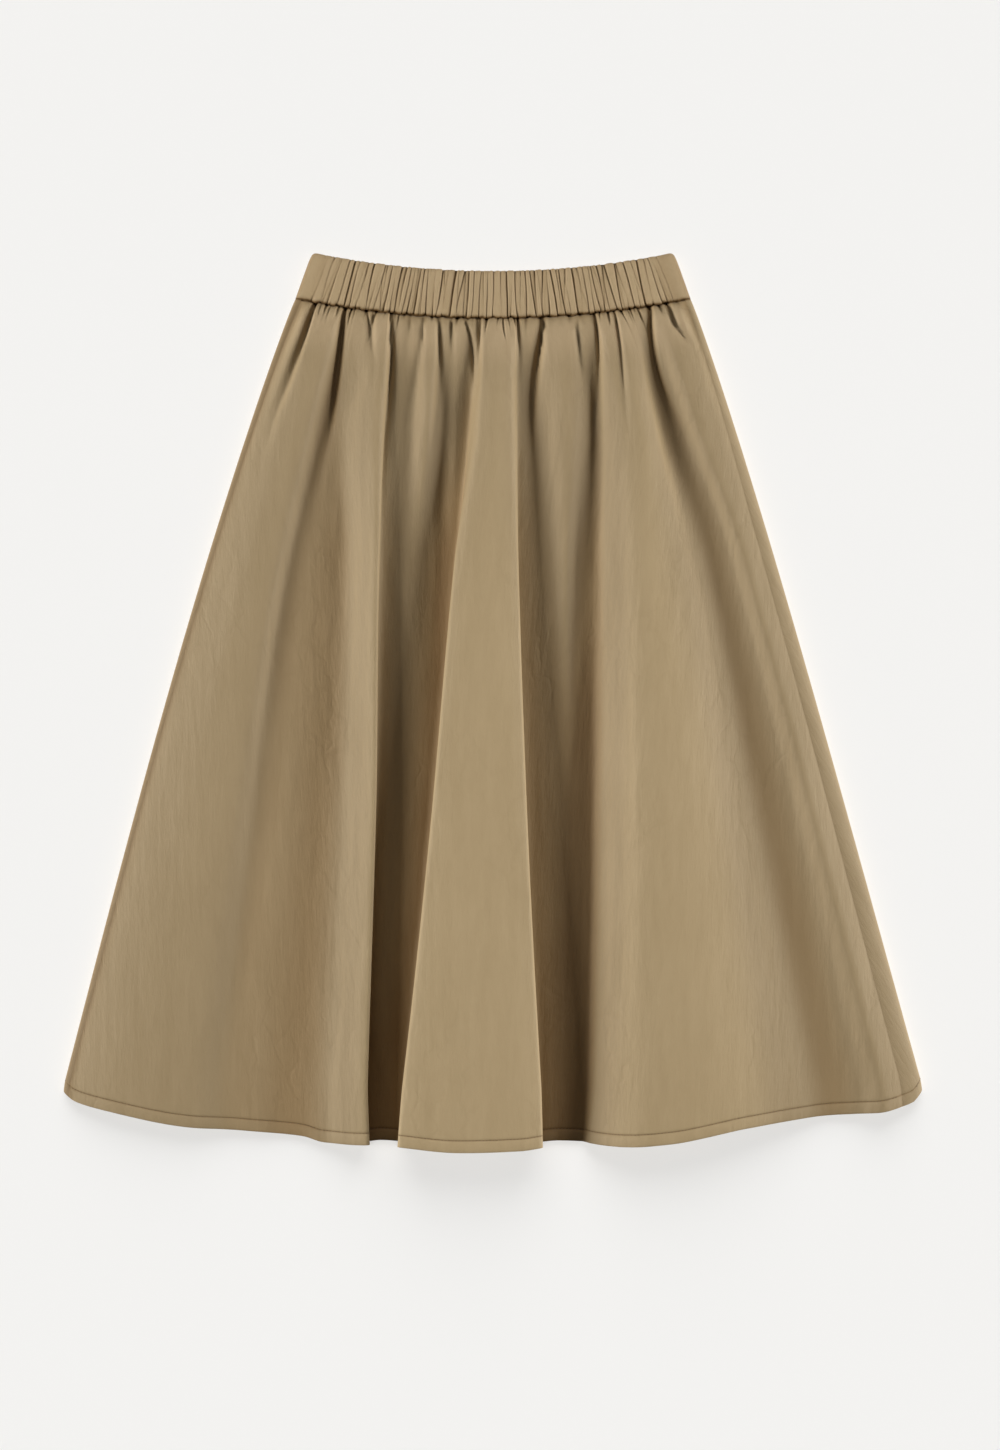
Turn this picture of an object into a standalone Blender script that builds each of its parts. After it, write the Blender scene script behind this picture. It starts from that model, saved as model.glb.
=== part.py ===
# Gathered A-line skirt, laid flat on its back with the waist toward +Y.
# Four cut pieces: front panel, back panel and the two halves of the waistband casing.
# The front panel is lofted through fold lines that run from the waist seam to the hem.

import math

import bpy
from mathutils import Vector

# Sizes in millimetres

MM = 0.001
WAIST_SEAM_HALF = 181.3       # half width of the flat waist, at the seam
WAIST_SEAM_SIDE_Y = 367.5     # the seam is an arc: its ends lie higher than its middle
WAIST_SEAM_SAG = 17.9
BAND_TOP_HALF = 166.2
BAND_TOP_SIDE_Y = 409.9
BAND_TOP_SAG = 16.8
HEM_HALF = 395.6
HEM_CORNER_Y = -360.0
SIDE_BULGE = 9.0              # how far the side leaves a straight line
CENTRE_SWAY = -2.0            # the lay swings a little to the left at mid length

CLOTH = 1.3                   # wall of a panel, crinkles included
CASING = 2.4                  # wall of the waistband: cloth, elastic, cloth
SEAM_GAP = 0.35               # between two pieces at their seam
SIDE_SEAM_GAP = 0.6
BACK_HEM_SHORT = 0.003        # share of the length by which the back stops short

BAND_THICK = 10.4             # front and back of the waistband together
BAND_EDGE = 6.0               # width over which the waistband rounds off at the sides
BAND_EDGE_TURNS = (0, 8, 22, 42, 64)   # degrees round that edge at which its columns stand
BAND_SEAM = 0.8               # height left open between its two halves at the side

# Fold lines of the front panel, left to right. Each runs down the cloth.
# across: its place between the left side (0) and the right side (1)
# height: how far the cloth's face lies above the floor, in mm
# both are given at these shares of the way from the waist seam to the hem:
DOWN = (0.0, 0.12, 0.3, 0.6, 1.0)

FRONT_FOLDS = (
    # name                 across                                height
    ("left side seam",    (0.017, 0.013, 0.010, 0.0075, 0.007), (7.6, 9.0, 9.0, 9.0, 9.0)),
    ("left rise",         (0.036, 0.042, 0.042, 0.036, 0.032), (8.2, 14.5, 14.5, 14.5, 14.0)),
    ("left crest",        (0.080, 0.084, 0.082, 0.082, 0.078), (8.4, 19.2, 19.6, 19.6, 18.6)),
    ("left shoulder",     (0.120, 0.125, 0.127, 0.142, 0.150), (8.2, 17.8, 18.2, 18.4, 16.6)),
    ("left foot",         (0.148, 0.152, 0.150, 0.170, 0.192), (7.2, 7.6, 9.4, 9.6, 10.0)),
    ("valley F rib",      (0.168, 0.172, 0.190, 0.213, 0.226), (7.6, 7.2, 8.4, 8.8, 8.6)),
    ("valley F floor",    (0.184, 0.190, 0.237, 0.266, 0.274), (7.6, 7.6, 7.2, 6.8, 6.0)),
    ("A foot",            (0.202, 0.208, 0.254, 0.289, 0.304), (8.0, 11.5, 11.2, 10.8, 11.5)),
    ("A crest",           (0.230, 0.236, 0.277, 0.3115, 0.330), (8.4, 19.5, 18.6, 19.0, 21.5)),
    ("A shoulder",        (0.250, 0.266, 0.3015, 0.3360, 0.3550), (8.4, 22.5, 25.0, 28.0, 31.5)),
    ("A edge",            (0.262, 0.278, 0.3085, 0.3400, 0.3585), (7.6, 18.5, 22.4, 26.5, 30.0)),
    ("A under",           (0.267, 0.278, 0.3045, 0.3350, 0.3525), (7.2, 11.5, 12.5, 14.0, 15.0)),
    ("recess 1 left",     (0.276, 0.289, 0.314, 0.340, 0.354), (7.2, 9.0, 6.4, 4.6, 4.2)),
    ("rib 1 foot",        (0.306, 0.322, 0.340, 0.353, 0.362), (7.2, 10.0, 6.2, 4.0, 3.7)),
    ("rib 1 crest",       (0.342, 0.361, 0.368, 0.368, 0.369), (8.4, 19.0, 8.6, 4.2, 3.6)),
    ("rib 1 fall",        (0.364, 0.380, 0.393, 0.386, 0.376), (8.0, 14.0, 6.4, 4.0, 3.7)),
    ("recess 1 right",    (0.400, 0.404, 0.413, 0.402, 0.383), (7.4, 6.4, 5.0, 4.2, 3.9)),
    ("rib 2",             (0.424, 0.425, 0.427, 0.413, 0.391), (8.2, 8.6, 5.4, 4.8, 4.8)),
    ("B foot",            (0.449, 0.451, 0.441, 0.426, 0.401), (7.2, 7.4, 8.4, 10.5, 13.0)),
    ("B left edge",       (0.468, 0.464, 0.4365, 0.418, 0.391), (7.6, 17.5, 23.0, 28.5, 33.0)),
    ("B left shoulder",   (0.480, 0.472, 0.443, 0.424, 0.397), (8.2, 21.8, 27.2, 32.6, 37.2)),
    ("B left crest",      (0.494, 0.490, 0.462, 0.448, 0.436), (8.4, 24.0, 29.0, 34.6, 39.8)),
    ("B middle",          (0.514, 0.513, 0.494, 0.486, 0.484), (8.4, 24.6, 29.8, 35.6, 41.0)),
    ("B right crest",     (0.532, 0.530, 0.521, 0.519, 0.520), (8.4, 23.6, 28.8, 34.4, 39.6)),
    ("B right shoulder",  (0.544, 0.5435, 0.5415, 0.5445, 0.551), (8.2, 21.0, 26.6, 32.2, 37.0)),
    ("B right edge",      (0.552, 0.551, 0.5475, 0.550, 0.557), (7.6, 16.0, 22.5, 28.0, 32.5)),
    ("B right under",     (0.556, 0.553, 0.543, 0.542, 0.546), (7.2, 12.0, 10.0, 10.5, 12.5)),
    ("recess 2 left",     (0.566, 0.565, 0.557, 0.554, 0.555), (7.4, 10.0, 8.6, 6.8, 5.2)),
    ("recess 2 floor",    (0.594, 0.583, 0.583, 0.573, 0.566), (7.2, 6.0, 6.2, 6.0, 4.8)),
    ("rib 3 rise",        (0.615, 0.610, 0.606, 0.590, 0.576), (8.0, 13.0, 10.0, 5.6, 4.4)),
    ("rib 3 crest",       (0.655, 0.655, 0.632, 0.605, 0.584), (8.4, 20.5, 14.6, 4.8, 4.0)),
    ("rib 3 fall",        (0.705, 0.690, 0.650, 0.619, 0.592), (8.0, 14.5, 8.6, 4.0, 3.6)),
    ("recess 2 right",    (0.740, 0.712, 0.669, 0.633, 0.600), (7.2, 5.6, 4.0, 3.5, 3.4)),
    ("C foot",            (0.750, 0.724, 0.683, 0.646, 0.606), (7.4, 7.6, 5.6, 5.6, 6.0)),
    ("C left edge",       (0.758, 0.735, 0.697, 0.659, 0.614), (8.0, 13.5, 12.0, 12.0, 14.0)),
    ("C shoulder",        (0.770, 0.754, 0.719, 0.680, 0.637), (8.4, 19.0, 20.5, 22.0, 25.5)),
    ("C crest",           (0.790, 0.782, 0.746, 0.707, 0.671), (8.4, 23.0, 27.5, 32.0, 35.5)),
    ("C back",            (0.810, 0.809, 0.786, 0.752, 0.735), (8.4, 24.0, 29.0, 34.5, 36.5)),
    ("C fall",            (0.832, 0.832, 0.828, 0.808, 0.800), (8.2, 18.0, 22.5, 28.5, 28.0)),
    ("D left",            (0.852, 0.849, 0.860, 0.850, 0.848), (7.8, 8.6, 13.0, 15.5, 16.0)),
    ("D floor",           (0.868, 0.868, 0.888, 0.886, 0.886), (7.4, 6.6, 7.6, 7.6, 8.0)),
    ("D right",           (0.884, 0.884, 0.918, 0.922, 0.922), (8.0, 12.0, 10.5, 11.0, 11.0)),
    ("E crest",           (0.914, 0.920, 0.943, 0.947, 0.947), (8.4, 19.5, 17.5, 18.0, 18.0)),
    ("E fall",            (0.962, 0.962, 0.963, 0.963, 0.963), (8.2, 16.0, 15.5, 16.0, 16.0)),
    ("right side seam",   (0.984, 0.981, 0.976, 0.975, 0.974), (7.6, 11.6, 12.4, 12.8, 13.0)),
)

# Fold lines of the back panel, from the left side seam round under the skirt to the right one.
BACK_FOLDS = (
    # name                 across                                height
    ("left side seam",    (0.017, 0.013, 0.010, 0.0075, 0.007), (7.6, 9.0, 9.0, 9.0, 9.0)),
    ("left roll over",    (0.006, 0.004, 0.003, 0.0022, 0.002), (6.6, 7.2, 7.2, 7.2, 7.2)),
    ("left side",         (0.000, 0.000, 0.000, 0.000, 0.000), (4.0, 4.2, 4.2, 4.2, 4.2)),
    ("left roll under",   (0.006, 0.004, 0.003, 0.0022, 0.002), (1.4, 1.4, 1.4, 1.4, 1.4)),
    ("left underside",    (0.020, 0.015, 0.012, 0.0095, 0.009), (0.0, 0.0, 0.0, 0.0, 0.0)),
    ("left flat",         (0.060, 0.050, 0.050, 0.050, 0.040), (0.0, 0.0, 0.0, 0.0, 0.0)),
    ("below left flute",  (0.100, 0.100, 0.100, 0.105, 0.105), (0.0, 1.4, 2.0, 2.2, 2.4)),
    ("flat F",            (0.150, 0.155, 0.155, 0.160, 0.165), (0.0, 0.0, 0.0, 0.0, 0.0)),
    ("flat F right",      (0.200, 0.205, 0.225, 0.262, 0.272), (0.0, 0.0, 0.0, 0.0, 0.0)),
    ("below A",           (0.245, 0.250, 0.280, 0.308, 0.322), (0.0, 1.6, 3.0, 4.4, 6.0)),
    ("flat 1",            (0.290, 0.293, 0.320, 0.350, 0.362), (0.0, 0.0, 0.0, 0.0, 0.0)),
    ("flat 1 right",      (0.430, 0.430, 0.425, 0.410, 0.396), (0.0, 0.0, 0.0, 0.0, 0.0)),
    ("below B left",      (0.470, 0.468, 0.455, 0.440, 0.428), (0.0, 1.2, 2.6, 4.0, 5.4)),
    ("below B middle",    (0.500, 0.498, 0.490, 0.482, 0.475), (0.0, 0.4, 0.8, 1.2, 1.6)),
    ("below B right",     (0.530, 0.528, 0.524, 0.522, 0.520), (0.0, 1.2, 2.2, 3.4, 4.6)),
    ("flat 2",            (0.565, 0.565, 0.565, 0.570, 0.570), (0.0, 0.0, 0.0, 0.0, 0.0)),
    ("flat 2 right",      (0.720, 0.720, 0.690, 0.650, 0.618), (0.0, 0.0, 0.0, 0.0, 0.0)),
    ("below C",           (0.775, 0.775, 0.745, 0.705, 0.680), (0.0, 1.8, 3.2, 4.8, 6.4)),
    ("below C right",     (0.810, 0.810, 0.800, 0.775, 0.760), (0.0, 0.6, 1.0, 1.6, 2.0)),
    ("flat D",            (0.850, 0.850, 0.850, 0.845, 0.840), (0.0, 0.0, 0.0, 0.0, 0.0)),
    ("flat E",            (0.930, 0.930, 0.935, 0.935, 0.935), (0.0, 0.0, 0.0, 0.0, 0.0)),
    ("right underside",   (0.980, 0.985, 0.988, 0.9905, 0.991), (0.0, 0.0, 0.0, 0.0, 0.0)),
    ("right roll under",  (0.994, 0.996, 0.997, 0.9978, 0.998), (1.4, 1.4, 1.4, 1.4, 1.4)),
    ("right side",        (1.000, 1.000, 1.000, 1.000, 1.000), (4.0, 4.4, 4.4, 4.4, 4.4)),
    ("right roll over",   (0.9955, 0.9958, 0.996, 0.9965, 0.997), (6.4, 7.6, 7.8, 8.0, 8.0)),
    ("right strip",       (0.990, 0.989, 0.988, 0.988, 0.988), (7.4, 10.0, 10.6, 11.0, 11.2)),
    ("right side seam",   (0.984, 0.981, 0.976, 0.975, 0.974), (7.6, 11.6, 12.4, 12.8, 13.0)),
)

# The hem's edge: its place across, and its y in mm. Its corners curl up faster than a circle's arc.
HEM_EDGE = (
    (0.0, -360.0), (0.015, -368.0), (0.06, -377.0), (0.15, -391.0), (0.21, -395.0), (0.30, -402.0),
    (0.37, -404.5), (0.46, -409.9), (0.53, -408.6), (0.575, -405.0), (0.64, -406.6), (0.70, -403.0),
    (0.79, -390.0), (0.87, -382.5), (0.94, -378.0), (0.985, -369.5), (1.0, -359.6),
)

# Gathers of the skirt where it meets the waistband. Each is a crease that fades down the cloth.
# across: its place at the seam; lean: how far it moves over its length
# depth and width in mm; reach: the share of the skirt's length over which it fades
FRONT_GATHERS = (
    # across  lean   depth width reach
    (0.058, -0.002, 9.5, 3.2, 0.12),
    (0.117, 0.004, 2.4, 2.0, 0.03),
    (0.135, 0.028, 9.5, 3.2, 0.16),
    (0.190, 0.034, 4.0, 2.4, 0.05),
    (0.204, 0.014, 3.4, 2.2, 0.04),
    (0.249, 0.030, 8.5, 2.6, 0.10),
    (0.297, 0.002, 4.4, 2.6, 0.06),
    (0.329, 0.004, 4.2, 2.8, 0.10),
    (0.366, 0.026, 8.5, 2.8, 0.11),
    (0.397, 0.006, 5.0, 2.6, 0.06),
    (0.428, 0.030, 6.0, 2.8, 0.09),
    (0.471, -0.008, 5.0, 2.6, 0.08),
    (0.525, 0.004, 2.8, 2.0, 0.03),
    (0.559, 0.002, 4.0, 2.6, 0.05),
    (0.626, -0.038, 10.5, 3.0, 0.11),
    (0.645, -0.004, 2.8, 2.0, 0.03),
    (0.664, 0.000, 2.0, 2.0, 0.03),
    (0.700, -0.002, 8.5, 2.8, 0.07),
    (0.748, -0.022, 6.0, 3.0, 0.10),
    (0.781, 0.002, 2.8, 2.0, 0.03),
    (0.799, -0.015, 6.5, 2.8, 0.10),
    (0.832, 0.002, 2.2, 2.0, 0.03),
    (0.856, 0.008, 3.0, 2.2, 0.04),
    (0.893, -0.018, 9.5, 4.0, 0.15),
    (0.934, 0.012, 7.5, 3.0, 0.06),
)

# The back's gathers follow the same spacing, drawn by a rule: creases that rise into the hollow.
BACK_GATHER_COUNT = 22
BACK_GATHER_DEPTH = 2.2
BACK_GATHER_WIDTH = 3.4
BACK_GATHER_REACH = 0.08

PUFF_HEIGHT = 6.0             # the cloth swells just below the seam
PUFF_START = 0.012
PUFF_END = 0.09

# Main gathers of the waistband: place across the band, lean of the groove from the lower edge
# to the upper one as a share of the width, and depth in mm. Finer ones fall between them.
BAND_GATHERS = (
    # across  lean   depth
    (0.045, 0.006, 0.5),
    (0.084, 0.008, 0.9),
    (0.122, -0.006, 2.1),
    (0.155, 0.010, 0.9),
    (0.176, -0.004, 1.4),
    (0.201, 0.004, 1.0),
    (0.224, 0.006, 1.1),
    (0.250, -0.002, 1.8),
    (0.272, 0.006, 1.1),
    (0.302, 0.008, 1.4),
    (0.326, -0.010, 1.0),
    (0.359, 0.008, 1.5),
    (0.396, 0.012, 1.9),
    (0.412, 0.016, 1.0),
    (0.434, 0.006, 1.2),
    (0.466, 0.004, 1.1),
    (0.500, 0.000, 0.9),
    (0.538, 0.004, 1.8),
    (0.560, -0.004, 1.1),
    (0.586, 0.002, 1.2),
    (0.605, -0.006, 1.5),
    (0.630, 0.008, 1.3),
    (0.660, -0.006, 1.7),
    (0.682, -0.002, 1.6),
    (0.715, -0.004, 1.8),
    (0.744, 0.004, 1.1),
    (0.770, -0.006, 1.2),
    (0.784, -0.004, 1.6),
    (0.810, -0.006, 1.4),
    (0.830, 0.004, 1.6),
    (0.858, -0.002, 1.3),
    (0.890, 0.012, 1.9),
    (0.927, -0.006, 1.0),
    (0.952, -0.006, 0.8),
)
BAND_GATHER_WIDTH = 2.2

# Mesh density
FRONT_STEP = 7.4              # mm along the section between two columns
PANEL_ROWS = 17
BACK_STEP = 13.0
BAND_COLUMNS = 120
# Rows of the band: share of its height, and how far it dips there, in mm
BAND_ROWS = ((0.0, 0.75), (0.06, 0.15), (0.30, 0.0), (0.70, 0.0), (0.94, 0.35), (1.0, 1.5))
BAND_DENT_LIMIT = 2.4
BACK_BAND_COLUMNS = 80

CLOTH_COLOUR = (0.37, 0.285, 0.18)


def hermite(keys, values, at):
    """Smooth value at `at` through values given at rising keys."""
    last = len(keys) - 1
    at = min(max(at, keys[0]), keys[last])
    span = 0
    while span < last - 1 and at > keys[span + 1]:
        span += 1
    slopes = [(values[i + 1] - values[i]) / (keys[i + 1] - keys[i]) for i in range(last)]

    def tangent(i):
        if i == 0:
            return slopes[0]
        if i == last:
            return slopes[-1]
        before, after = slopes[i - 1], slopes[i]
        if before * after <= 0.0:
            return 0.0
        return 2.0 * before * after / (before + after)

    width = keys[span + 1] - keys[span]
    f = (at - keys[span]) / width
    f2, f3 = f * f, f * f * f
    return (values[span] * (2 * f3 - 3 * f2 + 1) + tangent(span) * width * (f3 - 2 * f2 + f)
            + values[span + 1] * (3 * f2 - 2 * f3) + tangent(span + 1) * width * (f3 - f2))


def hem_y(across):
    return hermite([row[0] for row in HEM_EDGE], [row[1] for row in HEM_EDGE], across)


def seam_y(across):
    return WAIST_SEAM_SIDE_Y - WAIST_SEAM_SAG * (1.0 - (2.0 * across - 1.0) ** 2)


def side_share(y):
    """Share of the side's length at height y, easing to a stop at the hem's corner."""
    share = (WAIST_SEAM_SIDE_Y - y) / (WAIST_SEAM_SIDE_Y - HEM_CORNER_Y)
    if share > 0.98:
        share = 1.0 - 0.02 * math.exp(-(share - 0.98) / 0.02)
    return share


def lay_point(across, down):
    """Plan position of the cloth at `across` (0 left, 1 right) and `down` (0 seam, 1 hem)."""
    top = seam_y(across)
    y = top + down * (hem_y(across) - top)
    share = side_share(y)
    half = WAIST_SEAM_HALF + (HEM_HALF - WAIST_SEAM_HALF) * share
    bow = math.sin(math.pi * min(max(share, 0.0), 1.0) ** 0.7)
    half += SIDE_BULGE * bow
    return (2.0 * across - 1.0) * half + CENTRE_SWAY * math.sin(math.pi * min(max(share, 0.0), 1.0)), y


def fold_section(folds, down):
    """Fold lines at one share of the length, as (across, height) knots."""
    return [(hermite(DOWN, row[1], down), hermite(DOWN, row[2], down)) for row in folds]


def spline_between(knots, scale, span, f):
    """Centripetal spline through the knots, at fraction f of one span."""
    def place(i):
        i_in = min(max(i, 0), len(knots) - 1)
        a, h = knots[i_in][0] * scale, knots[i_in][1]
        if i != i_in:
            step = 1 if i < 0 else -1
            a = 2 * a - knots[i_in + step][0] * scale
            h = 2 * h - knots[i_in + step][1]
        return a, h

    p = [place(span + k) for k in (-1, 0, 1, 2)]
    gap = [max(math.hypot(p[k + 1][0] - p[k][0], p[k + 1][1] - p[k][1]), 1e-6) ** 0.5 for k in range(3)]
    out = []
    for axis in (0, 1):
        a, b, c, d = (q[axis] for q in p)
        leave = ((b - a) / gap[0] - (c - a) / (gap[0] + gap[1]) + (c - b) / gap[1]) * gap[1]
        arrive = ((c - b) / gap[1] - (d - b) / (gap[1] + gap[2]) + (d - c) / gap[2]) * gap[1]
        f2, f3 = f * f, f * f * f
        out.append(b * (2 * f3 - 3 * f2 + 1) + leave * (f3 - 2 * f2 + f)
                   + c * (3 * f2 - 2 * f3) + arrive * (f3 - f2))
    return out[0] / scale, out[1]


def section_width(down):
    return lay_point(1.0, down)[0] - lay_point(0.0, down)[0]


def columns_for(folds, step):
    """Columns as (span, fraction), spread by the length of the cloth at two thirds of the way down."""
    down = 0.6
    knots = fold_section(folds, down)
    scale = section_width(down)
    columns = [(0, 0.0)]
    for span in range(len(folds) - 1):
        length = 0.0
        last = spline_between(knots, scale, span, 0.0)
        for k in range(1, 9):
            here = spline_between(knots, scale, span, k / 8.0)
            length += math.hypot((here[0] - last[0]) * scale, here[1] - last[1])
            last = here
        count = max(1, round(length / step))
        columns += [(span, (k + 1) / count) for k in range(count)]
    return columns


def gather_dent(across, down, gathers):
    """Depth in mm of the gather creases at a point of the cloth."""
    width_here = section_width(down)
    dent = 0.0
    for place, lean, depth, width, reach in gathers:
        centre = place + lean * min(down / reach, 1.5)
        grown = width * (1.0 + 1.6 * down / reach)
        off = (across - centre) * width_here / grown
        dent += depth * math.exp(-off * off) * math.exp(-(down / reach) ** 1.5)
    return dent


def puff(down):
    return PUFF_HEIGHT * (1.0 - math.exp(-down / PUFF_START)) * math.exp(-(down / PUFF_END) ** 2)


def rows_down(count):
    """Shares of the length, closer together near the waist."""
    return [(i / count) ** 1.45 for i in range(count + 1)]


def add_shell(name, grid, wall, material, collection):
    """Open sheet of grid points in mm, given a wall on its inner side."""
    rows, columns = len(grid), len(grid[0])
    points = [Vector(p) * MM for row in grid for p in row]
    faces = []
    for i in range(rows - 1):
        for j in range(columns - 1):
            a = i * columns + j
            faces.append((a, a + columns, a + columns + 1, a + 1))
    mesh = bpy.data.meshes.new(name)
    mesh.from_pydata(points, [], faces)
    mesh.shade_smooth()
    mesh.materials.append(material)
    piece = bpy.data.objects.new(name, mesh)
    collection.objects.link(piece)
    solid = piece.modifiers.new("Wall", "SOLIDIFY")
    solid.thickness = wall * MM
    solid.offset = -1.0
    solid.use_rim = True
    return piece


def front_panel_grid():
    columns = columns_for(FRONT_FOLDS, FRONT_STEP)
    grid = []
    for down in rows_down(PANEL_ROWS):
        knots = fold_section(FRONT_FOLDS, down)
        scale = section_width(down)
        row = []
        for span, f in columns:
            across, height = spline_between(knots, scale, span, f)
            edge = min(across, 1.0 - across) * scale
            calm = min(max((edge - 9.0) / 8.0, 0.0), 1.0)
            height += calm * puff(down)
            height -= calm * min(gather_dent(across, down, FRONT_GATHERS), height - 4.6)
            x, y = lay_point(across, down)
            row.append((x, y, max(height, 3.4)))
        grid.append(row)
    return grid


def back_gathers():
    """Creases of the back, evenly spread with a small wave in their spacing."""
    rows = []
    for k in range(BACK_GATHER_COUNT):
        share = (k + 0.5 + 0.22 * math.sin(2.3 * k)) / BACK_GATHER_COUNT
        depth = BACK_GATHER_DEPTH * (0.75 + 0.25 * math.sin(1.7 * k + 1.0))
        reach = BACK_GATHER_REACH * (1.0 + 0.4 * math.sin(3.1 * k))
        rows.append((0.06 + 0.88 * share, 0.004 * math.sin(1.3 * k), depth, BACK_GATHER_WIDTH, reach))
    return rows


def back_panel_grid():
    columns = columns_for(BACK_FOLDS, BACK_STEP)
    gathers = back_gathers()
    under_first = 4
    under_last = len(BACK_FOLDS) - 5
    grid = []
    for down in rows_down(PANEL_ROWS):
        down = min(down, 1.0 - BACK_HEM_SHORT)
        knots = fold_section(BACK_FOLDS, down)
        scale = section_width(down)
        knots[0] = (knots[0][0] - SIDE_SEAM_GAP / scale, knots[0][1] - 0.05)
        knots[-1] = (knots[-1][0] + SIDE_SEAM_GAP / scale, knots[-1][1] - 0.05)
        row = []
        for span, f in columns:
            across, height = spline_between(knots, scale, span, f)
            if under_first <= span < under_last:
                height = max(height, 0.0)
                height += gather_dent(across, down, gathers)
                if height < 0.12:
                    height = 0.0
            x, y = lay_point(across, down)
            row.append((x, y, max(height, 0.0)))
        grid.append(row)
    return grid


def band_gathers(gathers):
    """Main grooves, and a finer one in each wide space between two of them."""
    rows = list(gathers)
    for k in range(len(gathers) - 1):
        here, after = gathers[k], gathers[k + 1]
        if after[0] - here[0] > 0.025:
            share = 0.5 + 0.1 * math.sin(2.1 * k)
            place = here[0] + (after[0] - here[0]) * share
            rows.append((place, 0.006 * math.sin(1.9 * k), 0.55 + 0.25 * math.sin(k)))
    return rows


def band_point(across, up):
    """Plan position on the waistband: `up` is 0 at its lower edge and 1 at its upper one."""
    arc = 1.0 - (2.0 * across - 1.0) ** 2
    low_y = WAIST_SEAM_SIDE_Y - WAIST_SEAM_SAG * arc
    top_y = BAND_TOP_SIDE_Y - BAND_TOP_SAG * arc
    low_x = (2.0 * across - 1.0) * WAIST_SEAM_HALF
    top_x = (2.0 * across - 1.0) * BAND_TOP_HALF
    return low_x + (top_x - low_x) * up, low_y + (top_y - low_y) * up


def band_columns(count):
    """Places across the band: some round each edge, and even ones between."""
    width = BAND_TOP_HALF + WAIST_SEAM_HALF
    edge = [BAND_EDGE * (1.0 - math.cos(math.radians(turn))) / width for turn in BAND_EDGE_TURNS]
    first = BAND_EDGE / width
    even = [first + (1.0 - 2.0 * first) * j / count for j in range(count + 1)]
    return edge + even + [1.0 - place for place in edge[::-1]]


def band_grid(count, front, gathers):
    """One half of the casing. Its sides round off to the middle height, its top edge rolls over."""
    middle = BAND_THICK / 2.0
    mean_width = BAND_TOP_HALF + WAIST_SEAM_HALF
    columns = band_columns(count)
    grid = []
    for up, dip in BAND_ROWS:
        row = []
        for across in columns:
            edge = min(across, 1.0 - across) * mean_width
            full = 1.0 if edge >= BAND_EDGE else math.sqrt(1.0 - (1.0 - edge / BAND_EDGE) ** 2)
            rise = BAND_SEAM / 2.0 + (middle - BAND_SEAM / 2.0) * full
            dent = 0.0
            for place, lean, depth in gathers:
                off = (across - place - lean * (up - 0.5)) * mean_width / BAND_GATHER_WIDTH
                dent += depth * math.exp(-off * off)
            calm = min(max((edge - 4.0) / 8.0, 0.0), 1.0)
            rise -= calm * min(dent + dip, BAND_DENT_LIMIT)
            x, y = band_point(across, up)
            row.append((x, y, middle + rise if front else middle - rise))
        grid.append(row if front else row[::-1])
    return grid[::-1]


def main():
    for old in list(bpy.data.objects):
        bpy.data.objects.remove(old, do_unlink=True)

    cloth = bpy.data.materials.new("Tan woven cloth")
    cloth.use_nodes = True
    shader = cloth.node_tree.nodes["Principled BSDF"]
    shader.inputs["Base Color"].default_value = (*CLOTH_COLOUR, 1.0)
    shader.inputs["Roughness"].default_value = 0.62
    shader.inputs["Metallic"].default_value = 0.0

    skirt = bpy.data.collections.new("Gathered skirt")
    bpy.context.scene.collection.children.link(skirt)

    front_rows = front_panel_grid()
    back_rows = back_panel_grid()
    # The panels stop a seam's width below the waistband.
    for grid in (front_rows, back_rows):
        grid[0] = [(x, y - SEAM_GAP, z) for x, y, z in grid[0]]

    add_shell("front_panel", front_rows, CLOTH, cloth, skirt)
    # The back's rows run from the hem up, so that its outer face looks down.
    add_shell("back_panel", back_rows[::-1], CLOTH, cloth, skirt)
    gathers = band_gathers(BAND_GATHERS)
    add_shell("waistband_front", band_grid(BAND_COLUMNS, True, gathers), CASING, cloth, skirt)
    mirrored = [(1.0 - place, -lean, depth) for place, lean, depth in gathers]
    add_shell("waistband_back", band_grid(BACK_BAND_COLUMNS, False, mirrored), CASING, cloth, skirt)


main()
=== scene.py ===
"""Gathered A-line skirt laid flat: its cloth, seams, stitches, floor, light and camera."""

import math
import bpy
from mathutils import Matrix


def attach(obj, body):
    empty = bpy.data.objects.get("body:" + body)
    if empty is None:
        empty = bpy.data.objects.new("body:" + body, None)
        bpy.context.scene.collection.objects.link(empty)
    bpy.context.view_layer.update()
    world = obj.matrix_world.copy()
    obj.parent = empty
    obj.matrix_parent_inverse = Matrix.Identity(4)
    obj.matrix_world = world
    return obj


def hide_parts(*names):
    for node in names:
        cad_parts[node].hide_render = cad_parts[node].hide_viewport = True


bl_info = {
    "name": "Gathered A-line skirt",
    "version": (1, 0, 0),
    "blender": (4, 5, 0),
    "location": "3D View > Sidebar > Skirt",
    "description": "Makes a gathered A-line skirt that lies flat, with its stitches and a plain studio",
    "category": "Add Mesh",
}

import bpy
import numpy as np
from bpy.props import FloatProperty, FloatVectorProperty, IntProperty, PointerProperty
from bpy.types import Operator, Panel, PropertyGroup
from mathutils import Vector, noise

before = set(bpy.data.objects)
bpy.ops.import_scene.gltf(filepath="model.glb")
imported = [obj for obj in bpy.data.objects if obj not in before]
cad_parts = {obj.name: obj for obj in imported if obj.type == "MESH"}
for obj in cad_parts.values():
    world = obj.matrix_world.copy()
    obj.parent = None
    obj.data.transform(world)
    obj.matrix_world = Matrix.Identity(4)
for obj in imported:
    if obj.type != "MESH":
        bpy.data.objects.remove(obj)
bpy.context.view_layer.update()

MM = 0.001

# In mm: a panel from the waist seam to the hem's edge, and the flat width of the waist at the seam
PANEL_LENGTH = 757.0
SEAM_WIDTH = 365.0

# Width in m over which the small waves of the waist seam are counted
WAVE_SPAN = 0.36

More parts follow.
